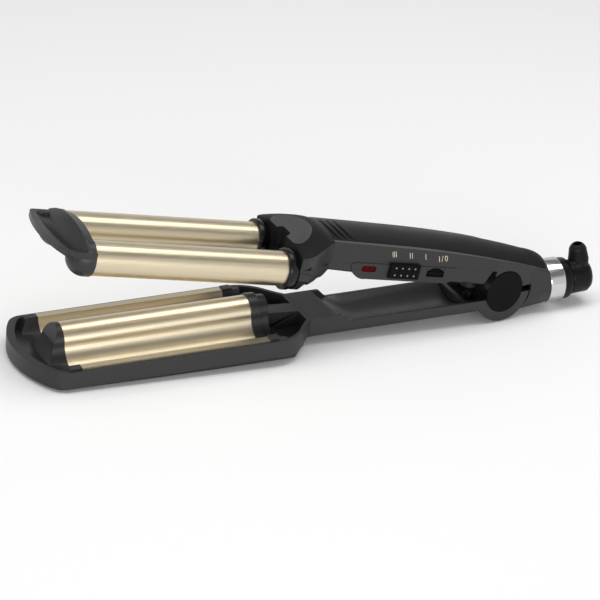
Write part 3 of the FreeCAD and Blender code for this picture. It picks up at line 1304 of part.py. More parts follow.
doc.recompute()
for thing in doc.Objects:
    if "Invalid" in thing.State or "Error" in thing.State:
        raise RuntimeError(f"{thing.Name} failed: {thing.State}")
for piece in pieces:
    if piece.Shape.isNull() or not piece.Shape.isValid():
        raise RuntimeError(f"{piece.Label} has no valid shape")

os.makedirs("parts", exist_ok=True)
for piece in pieces:
    piece.Shape.exportStep(f"parts/{piece.Label}.step")
print(len(pieces), "pieces written")
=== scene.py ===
import json
import math

import bmesh
import bpy
from mathutils import Matrix, Vector


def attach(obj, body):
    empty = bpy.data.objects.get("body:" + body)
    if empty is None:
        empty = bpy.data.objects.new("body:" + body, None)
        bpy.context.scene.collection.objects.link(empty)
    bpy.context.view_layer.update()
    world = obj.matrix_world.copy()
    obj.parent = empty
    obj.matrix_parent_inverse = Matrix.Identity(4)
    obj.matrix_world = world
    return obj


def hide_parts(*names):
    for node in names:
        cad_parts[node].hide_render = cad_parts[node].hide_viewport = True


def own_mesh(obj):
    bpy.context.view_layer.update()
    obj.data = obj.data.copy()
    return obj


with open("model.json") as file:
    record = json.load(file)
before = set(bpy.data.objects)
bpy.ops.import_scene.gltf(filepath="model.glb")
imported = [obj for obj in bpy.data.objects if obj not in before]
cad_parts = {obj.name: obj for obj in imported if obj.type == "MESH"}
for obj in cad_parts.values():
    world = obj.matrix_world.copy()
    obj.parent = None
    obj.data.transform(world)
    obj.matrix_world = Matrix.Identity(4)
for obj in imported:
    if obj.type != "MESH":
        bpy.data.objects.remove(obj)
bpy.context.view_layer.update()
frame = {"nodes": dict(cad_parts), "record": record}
nodes = frame["nodes"]
bodyOf = {node: body for body, members in frame["record"]["behaviour"]["bodies"].items() for node in members}
print("frame loaded:", len(nodes), "nodes")

mm = 0.001


# Shader helpers

def newGroup(name, inputs, outputs):
    group = bpy.data.node_groups.new(name, "ShaderNodeTree")
    for socket, value in inputs.items():
        made = group.interface.new_socket(socket, in_out="INPUT", socket_type="NodeSocketFloat")
        made.default_value = value
    for socket, kind in outputs.items():
        group.interface.new_socket(socket, in_out="OUTPUT", socket_type=kind)
    start = group.nodes.new("NodeGroupInput")
    end = group.nodes.new("NodeGroupOutput")
    return group, start, end


def link(tree, source, target):
    tree.links.new(source, target)


def mouldGrain():
    # fine spark texture of moulded plastic, with soft handling smudges
    group, start, end = newGroup("mouldGrain", {"Grain Scale": 2600.0, "Smudge Scale": 45.0},
                                 {"Height": "NodeSocketFloat", "Smudge": "NodeSocketFloat"})
    place = group.nodes.new("ShaderNodeTexCoord")
    grain = group.nodes.new("ShaderNodeTexNoise")
    grain.inputs["Detail"].default_value = 2.0
    smudge = group.nodes.new("ShaderNodeTexNoise")
    smudge.inputs["Detail"].default_value = 4.0
    smudge.inputs["Roughness"].default_value = 0.6
    link(group, place.outputs["Object"], grain.inputs["Vector"])
    link(group, place.outputs["Object"], smudge.inputs["Vector"])
    link(group, start.outputs["Grain Scale"], grain.inputs["Scale"])
    link(group, start.outputs["Smudge Scale"], smudge.inputs["Scale"])
    link(group, grain.outputs["Fac"], end.inputs["Height"])
    link(group, smudge.outputs["Fac"], end.inputs["Smudge"])
    return group


def brushedCoat():
    # faint lengthwise polish of a coated tube
    group, start, end = newGroup("brushedCoat", {"Across": 900.0, "Along": 12.0},
                                 {"Streak": "NodeSocketFloat"})
    place = group.nodes.new("ShaderNodeTexCoord")
    joint = group.nodes.new("ShaderNodeCombineXYZ")
    scaled = group.nodes.new("ShaderNodeVectorMath")
    scaled.operation = "MULTIPLY"
    streak = group.nodes.new("ShaderNodeTexNoise")
    streak.inputs["Scale"].default_value = 1.0
    streak.inputs["Detail"].default_value = 3.0
    link(group, start.outputs["Along"], joint.inputs["X"])
    link(group, start.outputs["Across"], joint.inputs["Y"])
    link(group, start.outputs["Across"], joint.inputs["Z"])
    link(group, place.outputs["Object"], scaled.inputs[0])
    link(group, joint.outputs["Vector"], scaled.inputs[1])
    link(group, scaled.outputs["Vector"], streak.inputs["Vector"])
    link(group, streak.outputs["Fac"], end.inputs["Streak"])
    return group


grainGroup = mouldGrain()
coatGroup = brushedCoat()


def newMaterial(name):
    material = bpy.data.materials.new(name)
    material.use_nodes = True
    return material, material.node_tree, material.node_tree.nodes["Principled BSDF"]


maskEnds = (0.3, 0.7)  # the noise lies between these


def spread(tree, source, low, high):
    # a mask carried to a range of values
    node = tree.nodes.new("ShaderNodeMapRange")
    node.inputs["From Min"].default_value, node.inputs["From Max"].default_value = maskEnds
    node.inputs["To Min"].default_value = low
    node.inputs["To Max"].default_value = high
    link(tree, source, node.inputs["Value"])
    return node.outputs["Result"]


skin = {"wornTint": 1.25, "grainHeight": 0.00004, "streakTint": 0.93}


def plastic(name, colour, roughness, grain, bump, shine=0.5):
    material, tree, shader = newMaterial(name)
    shader.inputs["Specular IOR Level"].default_value = shine
    effect = tree.nodes.new("ShaderNodeGroup")
    effect.node_tree = grainGroup
    effect.inputs["Grain Scale"].default_value = grain
    worn = tuple(skin["wornTint"] * c for c in colour)
    tint = tree.nodes.new("ShaderNodeMix")
    tint.data_type = "RGBA"
    tint.inputs["A"].default_value = (*colour, 1)
    tint.inputs["B"].default_value = (*worn, 1)
    link(tree, effect.outputs["Smudge"], tint.inputs["Factor"])
    link(tree, tint.outputs["Result"], shader.inputs["Base Color"])
    low, high = roughness
    link(tree, spread(tree, effect.outputs["Smudge"], low, high), shader.inputs["Roughness"])
    relief = tree.nodes.new("ShaderNodeBump")
    relief.inputs["Strength"].default_value = bump
    relief.inputs["Distance"].default_value = skin["grainHeight"]
    link(tree, effect.outputs["Height"], relief.inputs["Height"])
    link(tree, relief.outputs["Normal"], shader.inputs["Normal"])
    return material


def metal(name, colour, roughness):
    material, tree, shader = newMaterial(name)
    effect = tree.nodes.new("ShaderNodeGroup")
    effect.node_tree = coatGroup
    effect.inputs["Across"].default_value = 900.0
    shader.inputs["Metallic"].default_value = 1.0
    dark = tuple(skin["streakTint"] * c for c in colour)
    tint = tree.nodes.new("ShaderNodeMix")
    tint.data_type = "RGBA"
    tint.inputs["A"].default_value = (*dark, 1)
    tint.inputs["B"].default_value = (*colour, 1)
    link(tree, effect.outputs["Streak"], tint.inputs["Factor"])
    link(tree, tint.outputs["Result"], shader.inputs["Base Color"])
    low, high = roughness
    link(tree, spread(tree, effect.outputs["Streak"], low, high), shader.inputs["Roughness"])
    return material


finishes = {
    "gold": metal("champagneGold", (0.70, 0.61, 0.44), (0.30, 0.36)),
    "matte": plastic("matteBlack", (0.016, 0.016, 0.0165), (0.42, 0.52), 2200.0, 0.35, shine=0.42),
    "satin": plastic("satinBlack", (0.015, 0.015, 0.0155), (0.34, 0.42), 2600.0, 0.25, shine=0.42),
    "gloss": plastic("glossBlack", (0.004, 0.004, 0.0045), (0.17, 0.24), 1500.0, 0.05, shine=0.30),
    "disc": plastic("discBlack", (0.003, 0.003, 0.0032), (0.16, 0.22), 1500.0, 0.04, shine=0.07),
    "elbow": plastic("elbowBlack", (0.005, 0.005, 0.0053), (0.26, 0.34), 2000.0, 0.12, shine=0.14),
    "crown": plastic("crownBlack", (0.0095, 0.0095, 0.010), (0.40, 0.48), 2400.0, 0.10, shine=0.07),
    # bed: a lighter black for the finger trough, painted light
    "bed": plastic("bedPaintedLight", (0.028, 0.028, 0.029), (0.34, 0.42), 2200.0, 0.25, shine=0.90),
    # facet: a lighter black, painted light on the head's slanted facet
    "facet": plastic("facetPaintedLight", (0.034, 0.034, 0.035), (0.36, 0.44), 2400.0, 0.15, shine=0.55),
    "deep": plastic("deepBlack", (0.0032, 0.0032, 0.0034), (0.36, 0.46), 1800.0, 0.2, shine=0.06),
    "rubber": plastic("rubberBlack", (0.006, 0.006, 0.0063), (0.40, 0.52), 1800.0, 0.4, shine=0.16),
    "chrome": metal("brightChrome", (0.66, 0.66, 0.67), (0.05, 0.08)),
    "steel": metal("plainSteel", (0.55, 0.55, 0.57), (0.28, 0.36)),
    # near-black steel for the return spring
    "springSteel": metal("nearBlackSteel", (0.030, 0.030, 0.032), (0.40, 0.52)),
    "lamp": plastic("redLens", (0.055, 0.0005, 0.001), (0.14, 0.20), 900.0, 0.05, shine=0.05),
    # bright red rim of the lamp lens: a painted highlight
    "lampRimHighlight": plastic("redRimPaintedHighlight", (0.62, 0.03, 0.03), (0.20, 0.28), 900.0, 0.05, shine=0.2),
    "stud": plastic("greyStud", (0.17, 0.17, 0.17), (0.40, 0.50), 1800.0, 0.1),
    "mark": plastic("goldPrint", (0.50, 0.44, 0.30), (0.35, 0.45), 1800.0, 0.1),
}
print("materials ready:", len(finishes))


# CAD nodes get their finish on a merged, smooth shaded copy of the node

slotOf = {part["node"]: part["material_slot"] for part in frame["record"]["subparts"]}
slotFinish = {"matte_black": "matte", "satin_black": "satin", "gloss_black": "gloss", "gold": "gold",
              "chrome": "chrome", "rubber": "rubber", "lamp_red": "lamp", "steel": "steel",
              "bare_aluminium": "steel", "board_green": "matte"}


def addPiece(name, mesh, finish, body):
    piece = bpy.data.objects.new(name, mesh)
    bpy.context.scene.collection.objects.link(piece)
    mesh.materials.clear()
    mesh.materials.append(finishes[finish])
    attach(piece, body)
    return piece


dressing = {"weld": 0.000004, "sliver": 0.000002, "flatAngle": 0.6, "edgeAngle": 32.0, "segments": 2,
            "weight": 80}


def dress(name, finish, bevel, d):
    mesh = nodes[name].data.copy()
    work = bmesh.new()
    work.from_mesh(mesh)
    bmesh.ops.remove_doubles(work, verts=work.verts, dist=d["weld"])
    bmesh.ops.dissolve_degenerate(work, edges=work.edges, dist=d["sliver"])
    if bevel:  # flat faces become one face each, so that only real edges are rounded
        bmesh.ops.dissolve_limit(work, angle_limit=math.radians(d["flatAngle"]), verts=work.verts,
                                 edges=work.edges)
    for face in work.faces:
        face.smooth = True
    work.to_mesh(mesh)
    work.free()
    mesh.set_sharp_from_angle(angle=math.radians(d["edgeAngle"]))
    piece = addPiece(name + "Dressed", mesh, finish, bodyOf[name])
    if bevel:
        edge = piece.modifiers.new("edge", "BEVEL")
        edge.width = bevel * mm
        edge.segments = d["segments"]
        edge.limit_method = "ANGLE"
        edge.angle_limit = math.radians(d["edgeAngle"])
    even = piece.modifiers.new("even", "WEIGHTED_NORMAL")
    even.keep_sharp = True
    even.weight = d["weight"]
    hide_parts(name)


edgeRadius = {"upper_shell": 0.3, "handle_base": 0.3, "lower_shell": 0.35, "lower_handle": 0.35,
              "bottom_cover": 0.3, "control_panel": 0.2, "heat_slider": 0.25, "tip_insert": 0.3,
              "plate_end_frame": 0.3, "tail_base": 0.3, "left_hinge_cap": 0.3, "right_hinge_cap": 0.3,
              "spring_cup": 0.2}
ownFinish = {"left_hinge_cap": "disc", "right_hinge_cap": "disc", "return_spring": "springSteel",
             "heat_slider": "deep", "swivel_body": "elbow", "end_collar": "elbow"}
madeAnew = {"strain_relief", "power_rocker", "head_block", "top_inlay"}
for name in nodes:
    if name not in madeAnew:
        dress(name, ownFinish.get(name, slotFinish[slotOf[name]]), edgeRadius.get(name, 0.0), dressing)
print("nodes dressed")


# Both arms are drawn about the hinge, as they lie in the photograph

arms = {"hinge": (0.118, 0, 0.0186), "upperTilt": 9.6, "lowerTilt": -1.7, "ring": (0.0342, 0, 0.0015)}
hinge = Matrix.Translation(arms["hinge"])
upperArm = hinge @ Matrix.Rotation(math.radians(arms["upperTilt"]), 4, "Y")
lowerArm = hinge @ Matrix.Rotation(math.radians(arms["lowerTilt"]), 4, "Y")
tailArm = Matrix.Translation(upperArm @ Vector(arms["ring"])) \
    @ Matrix.Rotation(math.radians(arms["lowerTilt"]), 4, "Y")


def toMesh(work, name, place, smoothAngle=dressing["edgeAngle"]):
    mesh = bpy.data.meshes.new(name)
    work.transform(place)
    bmesh.ops.recalc_face_normals(work, faces=work.faces)
    for face in work.faces:
        face.smooth = True
    work.to_mesh(mesh)
    work.free()
    mesh.set_sharp_from_angle(angle=math.radians(smoothAngle))
    return mesh


def cleanUnion(name, body, others, cutters):
    # the forms are joined and cut, then kept as one plain mesh
    holder = bpy.data.objects.new(name, body)
    bpy.context.scene.collection.objects.link(holder)
    helpers = []
    for operation, meshes in (("UNION", others), ("DIFFERENCE", cutters)):
        for mesh in meshes:
            helper = bpy.data.objects.new("helper", mesh)
            bpy.context.scene.collection.objects.link(helper)
            helpers.append(helper)
            step = holder.modifiers.new("step", "BOOLEAN")
            step.operation = operation
            step.solver = "EXACT"
            step.object = helper
    bpy.context.view_layer.update()
    mesh = bpy.data.meshes.new_from_object(holder.evaluated_get(bpy.context.evaluated_depsgraph_get()))
    for thing in helpers + [holder]:
        bpy.data.objects.remove(thing)
    return mesh


def edgesOf(verts):
    # each edge once, always in the same order
    return list(dict.fromkeys(edge for vert in verts for edge in vert.link_edges))


def loft(work, sections):
    # closed outlines joined one after another, with a face over each end
    rings = []
    for points in sections:
        verts = [work.verts.new([c * mm for c in p]) for p in points]
        rings.append([work.edges.new((a, b)) for a, b in zip(verts, verts[1:] + verts[:1])])
    for first, second in zip(rings, rings[1:]):
        bmesh.ops.bridge_loops(work, edges=first + second)
    for ring in (rings[0], rings[-1]):
        bmesh.ops.contextual_create(work, geom=ring)


# Head: domed block with a crease above upright sides, a slanted oval facet, and round roots for the barrels

head = {
    # x, half width, then the heights of the crease, the top and the underside
    "rows": (
        (-121.1, 18.0, 25.0, 28.0, 7.9), (-124.0, 19.9, 24.8, 28.9, 5.8), (-127.0, 22.3, 24.2, 29.3, 5.0),
        (-130.0, 24.6, 23.5, 29.2, 5.3), (-134.0, 27.5, 22.4, 28.6, 6.2), (-138.0, 29.9, 21.3, 27.8, 6.6),
        (-142.0, 31.2, 20.4, 26.6, 6.6), (-145.0, 31.5, 19.8, 24.9, 6.6), (-146.5, 31.6, 19.2, 23.7, 6.6)),
    "rear": -121.1, "front": -146.5, "stations": 26, "arch": 2.45, "archSteps": 32, "crease": 0.45,
    "corner": 1.4, "cornerMid": (0.4, 0.45), "smoothAngle": 14,
    "facetTilt": 21.5, "facetFront": 22.9, "facetSize": (90, 90, 40),
    "recessHalf": 6.6, "recessDeep": 3.2, "recessRound": 3.2, "recessLow": 11.6, "recessHigh": 36.0,
    "recessAhead": 4.0,
    "flatPoint": (-138.0, -31.64, 9.9), "flatAlong": (-1.0, 0.0, 0.12), "flatOut": (0.0, -1.0, 0.0),
    "flatSize": (46, 10, 20),
    "reliefStart": -142.6, "reliefTop": 2.1, "reliefLean": 0.7, "reliefSize": (40, 90, 20),
    "sideLow": 6.0, "sideInner": 17.0}
root = {"y": 20.6, "z": 8.7, "radius": 11.6, "straight": 6.8, "tail": 17.0, "end": 4.5, "sides": 56,
        "lean": (1, -0.34, 0.12), "socket": 10.05, "socketAhead": 2, "tuck": 6.5}


def smoothRow(x, rows):
    # values at x, on a smooth curve through the given rows
    places = [row[0] for row in rows]
    i = min(max(sum(place >= x for place in places) - 1, 0), len(rows) - 2)
    span = places[i + 1] - places[i]
    t = (places[i] - x) / (places[i] - places[i + 1])
    values = []
    for k in range(1, len(rows[0])):
        a, b = rows[i][k], rows[i + 1][k]
        before = (b - rows[i - 1][k]) / (places[i + 1] - places[i - 1]) * span if i else b - a
        after = (rows[i + 2][k] - a) / (places[i + 2] - places[i]) * span if i + 2 < len(rows) else b - a
        values.append((2 * t ** 3 - 3 * t ** 2 + 1) * a + (t ** 3 - 2 * t ** 2 + t) * before
                      + (3 * t ** 2 - 2 * t ** 3) * b + (t ** 3 - t ** 2) * after)
    return values


def headSection(x, d):
    half, brow, top, low = smoothRow(x, d["rows"])
    soft, corner, (midIn, midUp) = d["crease"], d["corner"], d["cornerMid"]
    dome = []
    for i in range(d["archSteps"] + 1):
        y = (half - soft) * math.cos(math.pi * i / d["archSteps"])
        dome.append((x, y, top - (top - brow) * abs(y / half) ** d["arch"]))
    edge = brow - 1.1 * soft
    near = [(x, -half + 0.15 * soft, brow - 0.35 * soft)]  # the crease is a little rounded
    near += [(x, -half, edge + (low + corner - edge) * i / 4) for i in range(5)]
    near += [(x, -half + midIn, low + midUp), (x, -half + corner, low)]
    base = [(x, (-half + corner) * (1 - i / 4), low) for i in range(1, 8)]
    far = [(x, -y, z) for _, y, z in reversed(near)]
    return dome + near + base + far


def rootShape(side, d, front):
    # straight behind the collar, then tapering into the head
    start = Vector((front, side * d["y"], d["z"])) * mm
    knee = start + Vector((d["straight"], 0, 0)) * mm
    ahead, heading = Vector((1, 0, 0)), (Vector(d["lean"]) * Vector((1, side, 1))).normalized()
    tip = knee + heading * d["tail"] * mm
    work = bmesh.new()
    rings = []
    for centre, axis, radius in ((start, ahead, d["radius"]), (knee, ahead, d["radius"]),
                                 (tip, heading, d["end"])):
        turn = axis.to_track_quat("Z", "Y").to_matrix().to_4x4()
        made = bmesh.ops.create_circle(work, segments=d["sides"], radius=radius * mm,
                                       matrix=Matrix.Translation(centre) @ turn)
        rings.append(edgesOf(made["verts"]))
    for first, second in zip(rings, rings[1:]):
        bmesh.ops.bridge_loops(work, edges=first + second)
    for ring in (rings[0], rings[-1]):
        bmesh.ops.contextual_create(work, geom=ring)
    return toMesh(work, "root", Matrix.Identity(4))


def socketCutter(side, d, front):
    # bore that takes the barrel's end
    start = Vector((front - d["socketAhead"], side * d["y"], d["z"]))
    end = Vector((front + d["tuck"], side * d["y"], d["z"]))
    work = bmesh.new()
    bmesh.ops.create_cone(work, cap_ends=True, segments=d["sides"], radius1=d["socket"] * mm,
                          radius2=d["socket"] * mm, depth=(d["tuck"] + d["socketAhead"]) * mm,
                          matrix=Matrix.Translation((start + end) * 0.5 * mm)
                          @ Matrix.Rotation(math.radians(90), 4, "Y"))
    return toMesh(work, "socket", Matrix.Identity(4))


def block(place, size):
    work = bmesh.new()
    bmesh.ops.create_cube(work, size=1.0, matrix=place @ Matrix.Diagonal((*(mm * c for c in size), 1)))
    return work


def facetCutter(d):
    # all above the slanted facet
    place = Matrix.Translation(Vector((d["front"], 0, d["facetFront"])) * mm) \
        @ Matrix.Rotation(math.radians(-d["facetTilt"]), 4, "Y") \
        @ Matrix.Translation((0, 0, 0.5 * d["facetSize"][2] * mm))
    return toMesh(block(place, d["facetSize"]), "facet", Matrix.Identity(4))


def recessCutter(d):
    # recess in the front between the barrels, with round inner corners
    low, high, ahead = d["recessLow"], d["recessHigh"], d["recessAhead"]
    centre = Vector((d["front"] + 0.5 * (d["recessDeep"] - ahead), 0, 0.5 * (low + high))) * mm
    work = block(Matrix.Translation(centre), (d["recessDeep"] + ahead, 2 * d["recessHalf"], high - low))
    inner = [e for e in work.edges if all(v.co.x > d["front"] * mm for v in e.verts)
             and abs(e.verts[0].co.z - e.verts[1].co.z) > 0.5 * (high - low) * mm]
    bmesh.ops.bevel(work, geom=inner, offset=d["recessRound"] * mm, segments=8, affect="EDGES", profile=0.5,
                    material=-1)
    return toMesh(work, "recess", Matrix.Identity(4))


def flatCutter(side, d):
    # flat at the lower front corner, above the cover's edge
    mirror = Vector((1, -side, 1))
    point, along, out = (Vector(d[key]) * mirror for key in ("flatPoint", "flatAlong", "flatOut"))
    along.normalize()
    out = (out - along * out.dot(along)).normalized()
    upward = along.cross(out)
    if upward.z < 0:
        upward.negate()
    turn = Matrix((along, out, upward)).transposed().to_4x4()
    centre = point + 0.5 * d["flatSize"][1] * out + 0.5 * d["flatSize"][2] * upward
    return toMesh(block(Matrix.Translation(centre * mm) @ turn, d["flatSize"]), "flat", Matrix.Identity(4))


def reliefCutter(d):
    # keeps the roots clear of the casing's shoulders with the jaws closed
    length, _, height = d["reliefSize"]
    centre = Vector((d["reliefStart"] + 0.5 * length, 0, d["reliefTop"] - 0.5 * height)) * mm
    place = Matrix.Rotation(math.radians(d["reliefLean"]), 4, "Y") @ Matrix.Translation(centre)
    return toMesh(block(place, d["reliefSize"]), "relief", Matrix.Identity(4))


def headMesh(d, r):
    work = bmesh.new()
    count = d["stations"]
    loft(work, [headSection(d["rear"] + (d["front"] - d["rear"]) * i / count, d) for i in range(count + 1)])
    body = toMesh(work, "headBody", Matrix.Identity(4))
    cutters = [facetCutter(d), recessCutter(d), reliefCutter(d)]
    cutters += [flatCutter(side, d) for side in (-1, 1)]
    cutters += [socketCutter(side, r, d["front"]) for side in (-1, 1)]
    mesh = cleanUnion("headBlock", body, [rootShape(side, r, d["front"]) for side in (-1, 1)], cutters)
    work = bmesh.new()
    work.from_mesh(mesh)
    bmesh.ops.remove_doubles(work, verts=work.verts, dist=0.00002)
    return toMesh(work, "headBlock", upperArm, d["smoothAngle"])


def paintHeadLightAndShade(mesh, d):
    # dome 0, slanted facet 1, upright sides with their flats 2; sorted by face direction, the facet and the
    # sides get lighter blacks than the dome as painted light
    tilt = math.radians(d["facetTilt"])
    facet = Vector((-math.sin(tilt), 0, math.cos(tilt)))
    home = upperArm.inverted()
    for face in mesh.polygons:
        normal, middle = home.to_3x3() @ face.normal, home @ face.center / mm
        upright = abs(normal.z) < 0.35 and abs(normal.y) > 0.5
        if normal.dot(facet) > 0.9995:
            face.material_index = 1
        elif upright and middle.z > d["sideLow"] and abs(middle.y) > d["sideInner"]:
            face.material_index = 2


headPiece = addPiece("headBlock", headMesh(head, root), "crown", "upper_arm")
# the facet and the sides are painted lighter than the dome, as painted light
for finish in ("facet", "satin"):
    headPiece.data.materials.append(finishes[finish])
paintHeadLightAndShade(headPiece.data, head)
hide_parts("head_block")
print("head made")


# Crown of the handle: bowed top with three bowed grip grooves near the head

crown = {
    "front": -121.0, "knee": 16.0, "end": 31.0, "half": 18.0, "hingeHalf": 16.4, "taper": 9.6,
    "edgeFront": 25.7, "edgeDrop": 3.4, "edgeBend": 3.6, "inset": 0.4, "settle": 1.0, "thick": 0.05,
    "rows": ((16.0, 4.7), (0.0, 4.1), (-30.0, 2.9), (-60.0, 2.2), (-90.0, 2.2), (-121.0, 2.3)),  # x, rise
    "grooves": (-119.8, -115.2, -110.6), "grooveWidth": 1.9, "grooveDepth": 1.1, "grooveHalf": 13.6,
    # shares of the width and the depth across a groove
    "grooveCut": ((0, 0), (0.12, 0.45), (0.3, 0.9), (0.5, 1.0), (0.7, 0.9), (0.88, 0.45), (1, 0)),
    "bow": 40.0, "bowStart": 1.2, "bowEnd": -88.0, "bowFade": 15, "lead": -120.4, "plainStart": -107.0,
    "plainStep": 4.1, "kneeSteps": 11, "archSteps": 40, "footSteps": 6,
    "tailHalf": 7.88, "tailX": 32.22, "tailZ": 11.39, "tailRise": 2.4}


def crownEdge(x, d):
    # half width and height of the shell's rim
    share = x / -d["front"] + 1
    half = min(d["half"], d["hingeHalf"] - x * math.tan(math.radians(d["taper"])))
    return half, d["edgeFront"] - d["edgeDrop"] * share - d["edgeBend"] * share ** 4


def crownSection(x, d, dip):
    knee = d["knee"]
    half, foot = crownEdge(min(x, knee), d)
    top = foot + smoothRow(min(x, knee), d["rows"])[0]
    if x > knee:  # over the neck the crown dives to the ring
        along = (x - knee) / (d["tailX"] - knee)
        share = min((x - knee) / (d["end"] - knee), 1)
        half = half + along * (d["tailHalf"] - half)
        foot = foot + along * (d["tailZ"] - foot)
        top = top - (top - d["tailZ"] - d["tailRise"]) * (1 - math.sqrt(1 - share ** 2))
    half, foot = half - d["inset"], foot - d["settle"]
    rise = max(top - foot, 0.5)
    radius = (half ** 2 + rise ** 2) / (2 * rise)
    sweep = math.asin(min(half / radius, 1.0))
    # the grooves bow back to the sides, the front edge stays straight
    curl = max(0.0, min(1.0, (x - d["front"]) / d["bowStart"]))
    curl *= max(0.0, min(1.0, (d["bowEnd"] - x) / d["bowFade"]))
    points = []
    for i in range(d["archSteps"] + 1):
        turn = sweep * (1 - 2 * i / d["archSteps"])
        y = radius * math.sin(turn)
        sunk = dip * max(0.0, 1 - (abs(y) / d["grooveHalf"]) ** 6)
        points.append((x + curl * (d["bow"] - math.sqrt(d["bow"] ** 2 - y ** 2)), y,
                       foot + rise - radius + radius * math.cos(turn) - sunk))
    across = [half * (2 * i / d["footSteps"] - 1) for i in range(d["footSteps"] + 1)]
    return points + [(x, y, foot - d["thick"]) for y in across]


def crownMesh(d):
    stations = {d["front"]: 0.0, d["lead"]: 0.0}
    for start in d["grooves"]:
        for along, depth in d["grooveCut"]:
            stations[start + along * d["grooveWidth"]] = depth * d["grooveDepth"]
    x = d["plainStart"]
    while x < d["knee"]:
        stations[x] = 0.0
        x += d["plainStep"]
    for i in range(d["kneeSteps"] + 1):
        stations[d["knee"] + (d["end"] - d["knee"]) * math.sin(0.5 * math.pi * i / d["kneeSteps"])] = 0.0
    work = bmesh.new()
    loft(work, [crownSection(x, d, dip) for x, dip in sorted(stations.items())])
    return toMesh(work, "crownInlay", upperArm, 40)


def paintGrooveShade(mesh, d):
    # the grooves' beds are painted darker, as painted shade
    home = upperArm.inverted()
    for face in mesh.polygons:
        x, y, z = home @ face.center / mm
        unbowed = x - d["bow"] + math.sqrt(d["bow"] ** 2 - y ** 2)
        for start in d["grooves"]:
            if 0.1 < (unbowed - start) / d["grooveWidth"] < 0.9 and abs(y) < 13.0 and z > 20:
                face.material_index = 1


crownPiece = addPiece("crownInlay", crownMesh(crown), "crown", "upper_arm")
# the deep black in the grooves is painted shade
crownPiece.data.materials.append(finishes["deep"])
paintGrooveShade(crownPiece.data, crown)
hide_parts("top_inlay")
print("crown made")


# Finger trough of the lower handle: one smooth bed that rises to the saddle

trough = {"start": -104.6, "end": -27.6, "half": 16.1, "brim": -3.3, "depth": 5.2, "thin": 0.04, "rise": 15.0,
          "riseSteps": 10, "riseEase": 1.6, "pitch": 8, "steps": 24, "thick": 0.35}


def troughBed(d):
    shares = [i / d["riseSteps"] for i in range(d["riseSteps"] + 1)]
    stations = [d["start"] + d["rise"] * share ** d["riseEase"] for share in shares]
    while stations[-1] < d["end"] - d["pitch"]:
        stations.append(stations[-1] + d["pitch"])
    sections = []
    for x in stations + [d["end"]]:
        t = min((x - d["start"]) / d["rise"], 1.0)
        depth = d["depth"] * (d["thin"] + (1 - d["thin"]) * (1 - (1 - t) ** 2))
        radius = (d["half"] ** 2 + depth ** 2) / (2 * depth)
        sweep = math.asin(d["half"] / radius)
        turns = [sweep * (1 - 2 * i / d["steps"]) for i in range(d["steps"] + 1)]
        face = [(x, radius * math.sin(a), d["brim"] - depth + radius - radius * math.cos(a)) for a in turns]
        sections.append(face + [(x, y, z - d["thick"]) for _, y, z in reversed(face)])
    work = bmesh.new()
    loft(work, sections)
    return toMesh(work, "troughBed", lowerArm, 40)


# the bed's lighter black is painted light
addPiece("troughBed", troughBed(trough), "bed", "lower_arm")
print("trough made")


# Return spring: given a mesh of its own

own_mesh(bpy.data.objects["return_springDressed"])


# Strain relief: ribbed boot with a round top

boot = {"foot": 6.2, "top": 5.4, "height": 11.0, "lean": 9.0, "bore": 2.6, "boreGap": 0.02, "ribs": 6,
        "ribPitch": 1.15, "ribStart": 0.7, "ribCut": ((0.0, 0.0), (0.15, 0.32), (0.33, 0.32), (0.48, 0.03)),
        "domeGap": 0.3, "domeSteps": 10, "lip": 0.5, "sides": 48, "place": (23.7, 0, 11.05)}


def ribbedBoot(b):
    brow = b["height"] - b["top"]
    profile = [(b["bore"], 0.0), (b["foot"], 0.0)]
    for i in range(b["ribs"]):
        z = b["ribStart"] + i * b["ribPitch"]
        r = b["foot"] + (b["top"] - b["foot"]) * min(z / brow, 1.0)
        if z > brow:
            r = math.sqrt(b["top"] ** 2 - (z - brow) ** 2)
        profile += [(r - cut, z + up) for up, cut in b["ribCut"]]
    start = math.asin(min(1.0, max(0.0, (profile[-1][1] + b["domeGap"] - brow) / b["top"])))
    stop = math.acos(b["bore"] / b["top"])
    for i in range(b["domeSteps"] + 1):
        turn = start + (stop - start) * i / b["domeSteps"]
        profile.append((b["top"] * math.cos(turn), brow + b["top"] * math.sin(turn)))
    inner = b["bore"] - b["boreGap"]
    profile += [(inner, profile[-1][1] - b["lip"]), (inner, 0.0)]
    work = bmesh.new()
    ring = [work.verts.new((r * mm, 0, z * mm)) for r, z in profile]
    edges = [work.edges.new(pair) for pair in zip(ring, ring[1:])]
    bmesh.ops.spin(work, geom=ring + edges, cent=(0, 0, 0), axis=(0, 0, 1), angle=math.tau, steps=b["sides"],
                   use_merge=True)
    bmesh.ops.remove_doubles(work, verts=work.verts, dist=0.000004)
    place = tailArm @ Matrix.Translation(Vector(b["place"]) * mm) \
        @ Matrix.Rotation(math.radians(-b["lean"]), 4, "Y")
    return toMesh(work, "ribbedBoot", place, 50)


bootPiece = addPiece("ribbedBoot", ribbedBoot(boot), "rubber", "cord_elbow")
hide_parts("strain_relief")
print("boot made")


# Controls: studs on the slider, frame of the lamp lens, half-moon rocker, gold marks above them

def nearFace(work, points, d):
    # one face from an outline on the handle's near side
    return work.faces.new([work.verts.new(((d["x"] + x) * mm, d["face"] * mm, (d["z"] + z) * mm))
                           for x, z in points])


def drawOut(work, faces, step):
    made = bmesh.ops.extrude_face_region(work, geom=faces)
    bmesh.ops.translate(work, verts=[v for v in made["geom"] if isinstance(v, bmesh.types.BMVert)],
                        vec=(0, step * mm, 0))


studs = {"x": -72.0, "z": 10.4, "face": -20.4, "pitchX": 4.2, "pitchZ": 4.4, "radius": 0.62, "taper": 0.6,
         "height": 0.32, "sunk": 0.05, "round": 0.1}


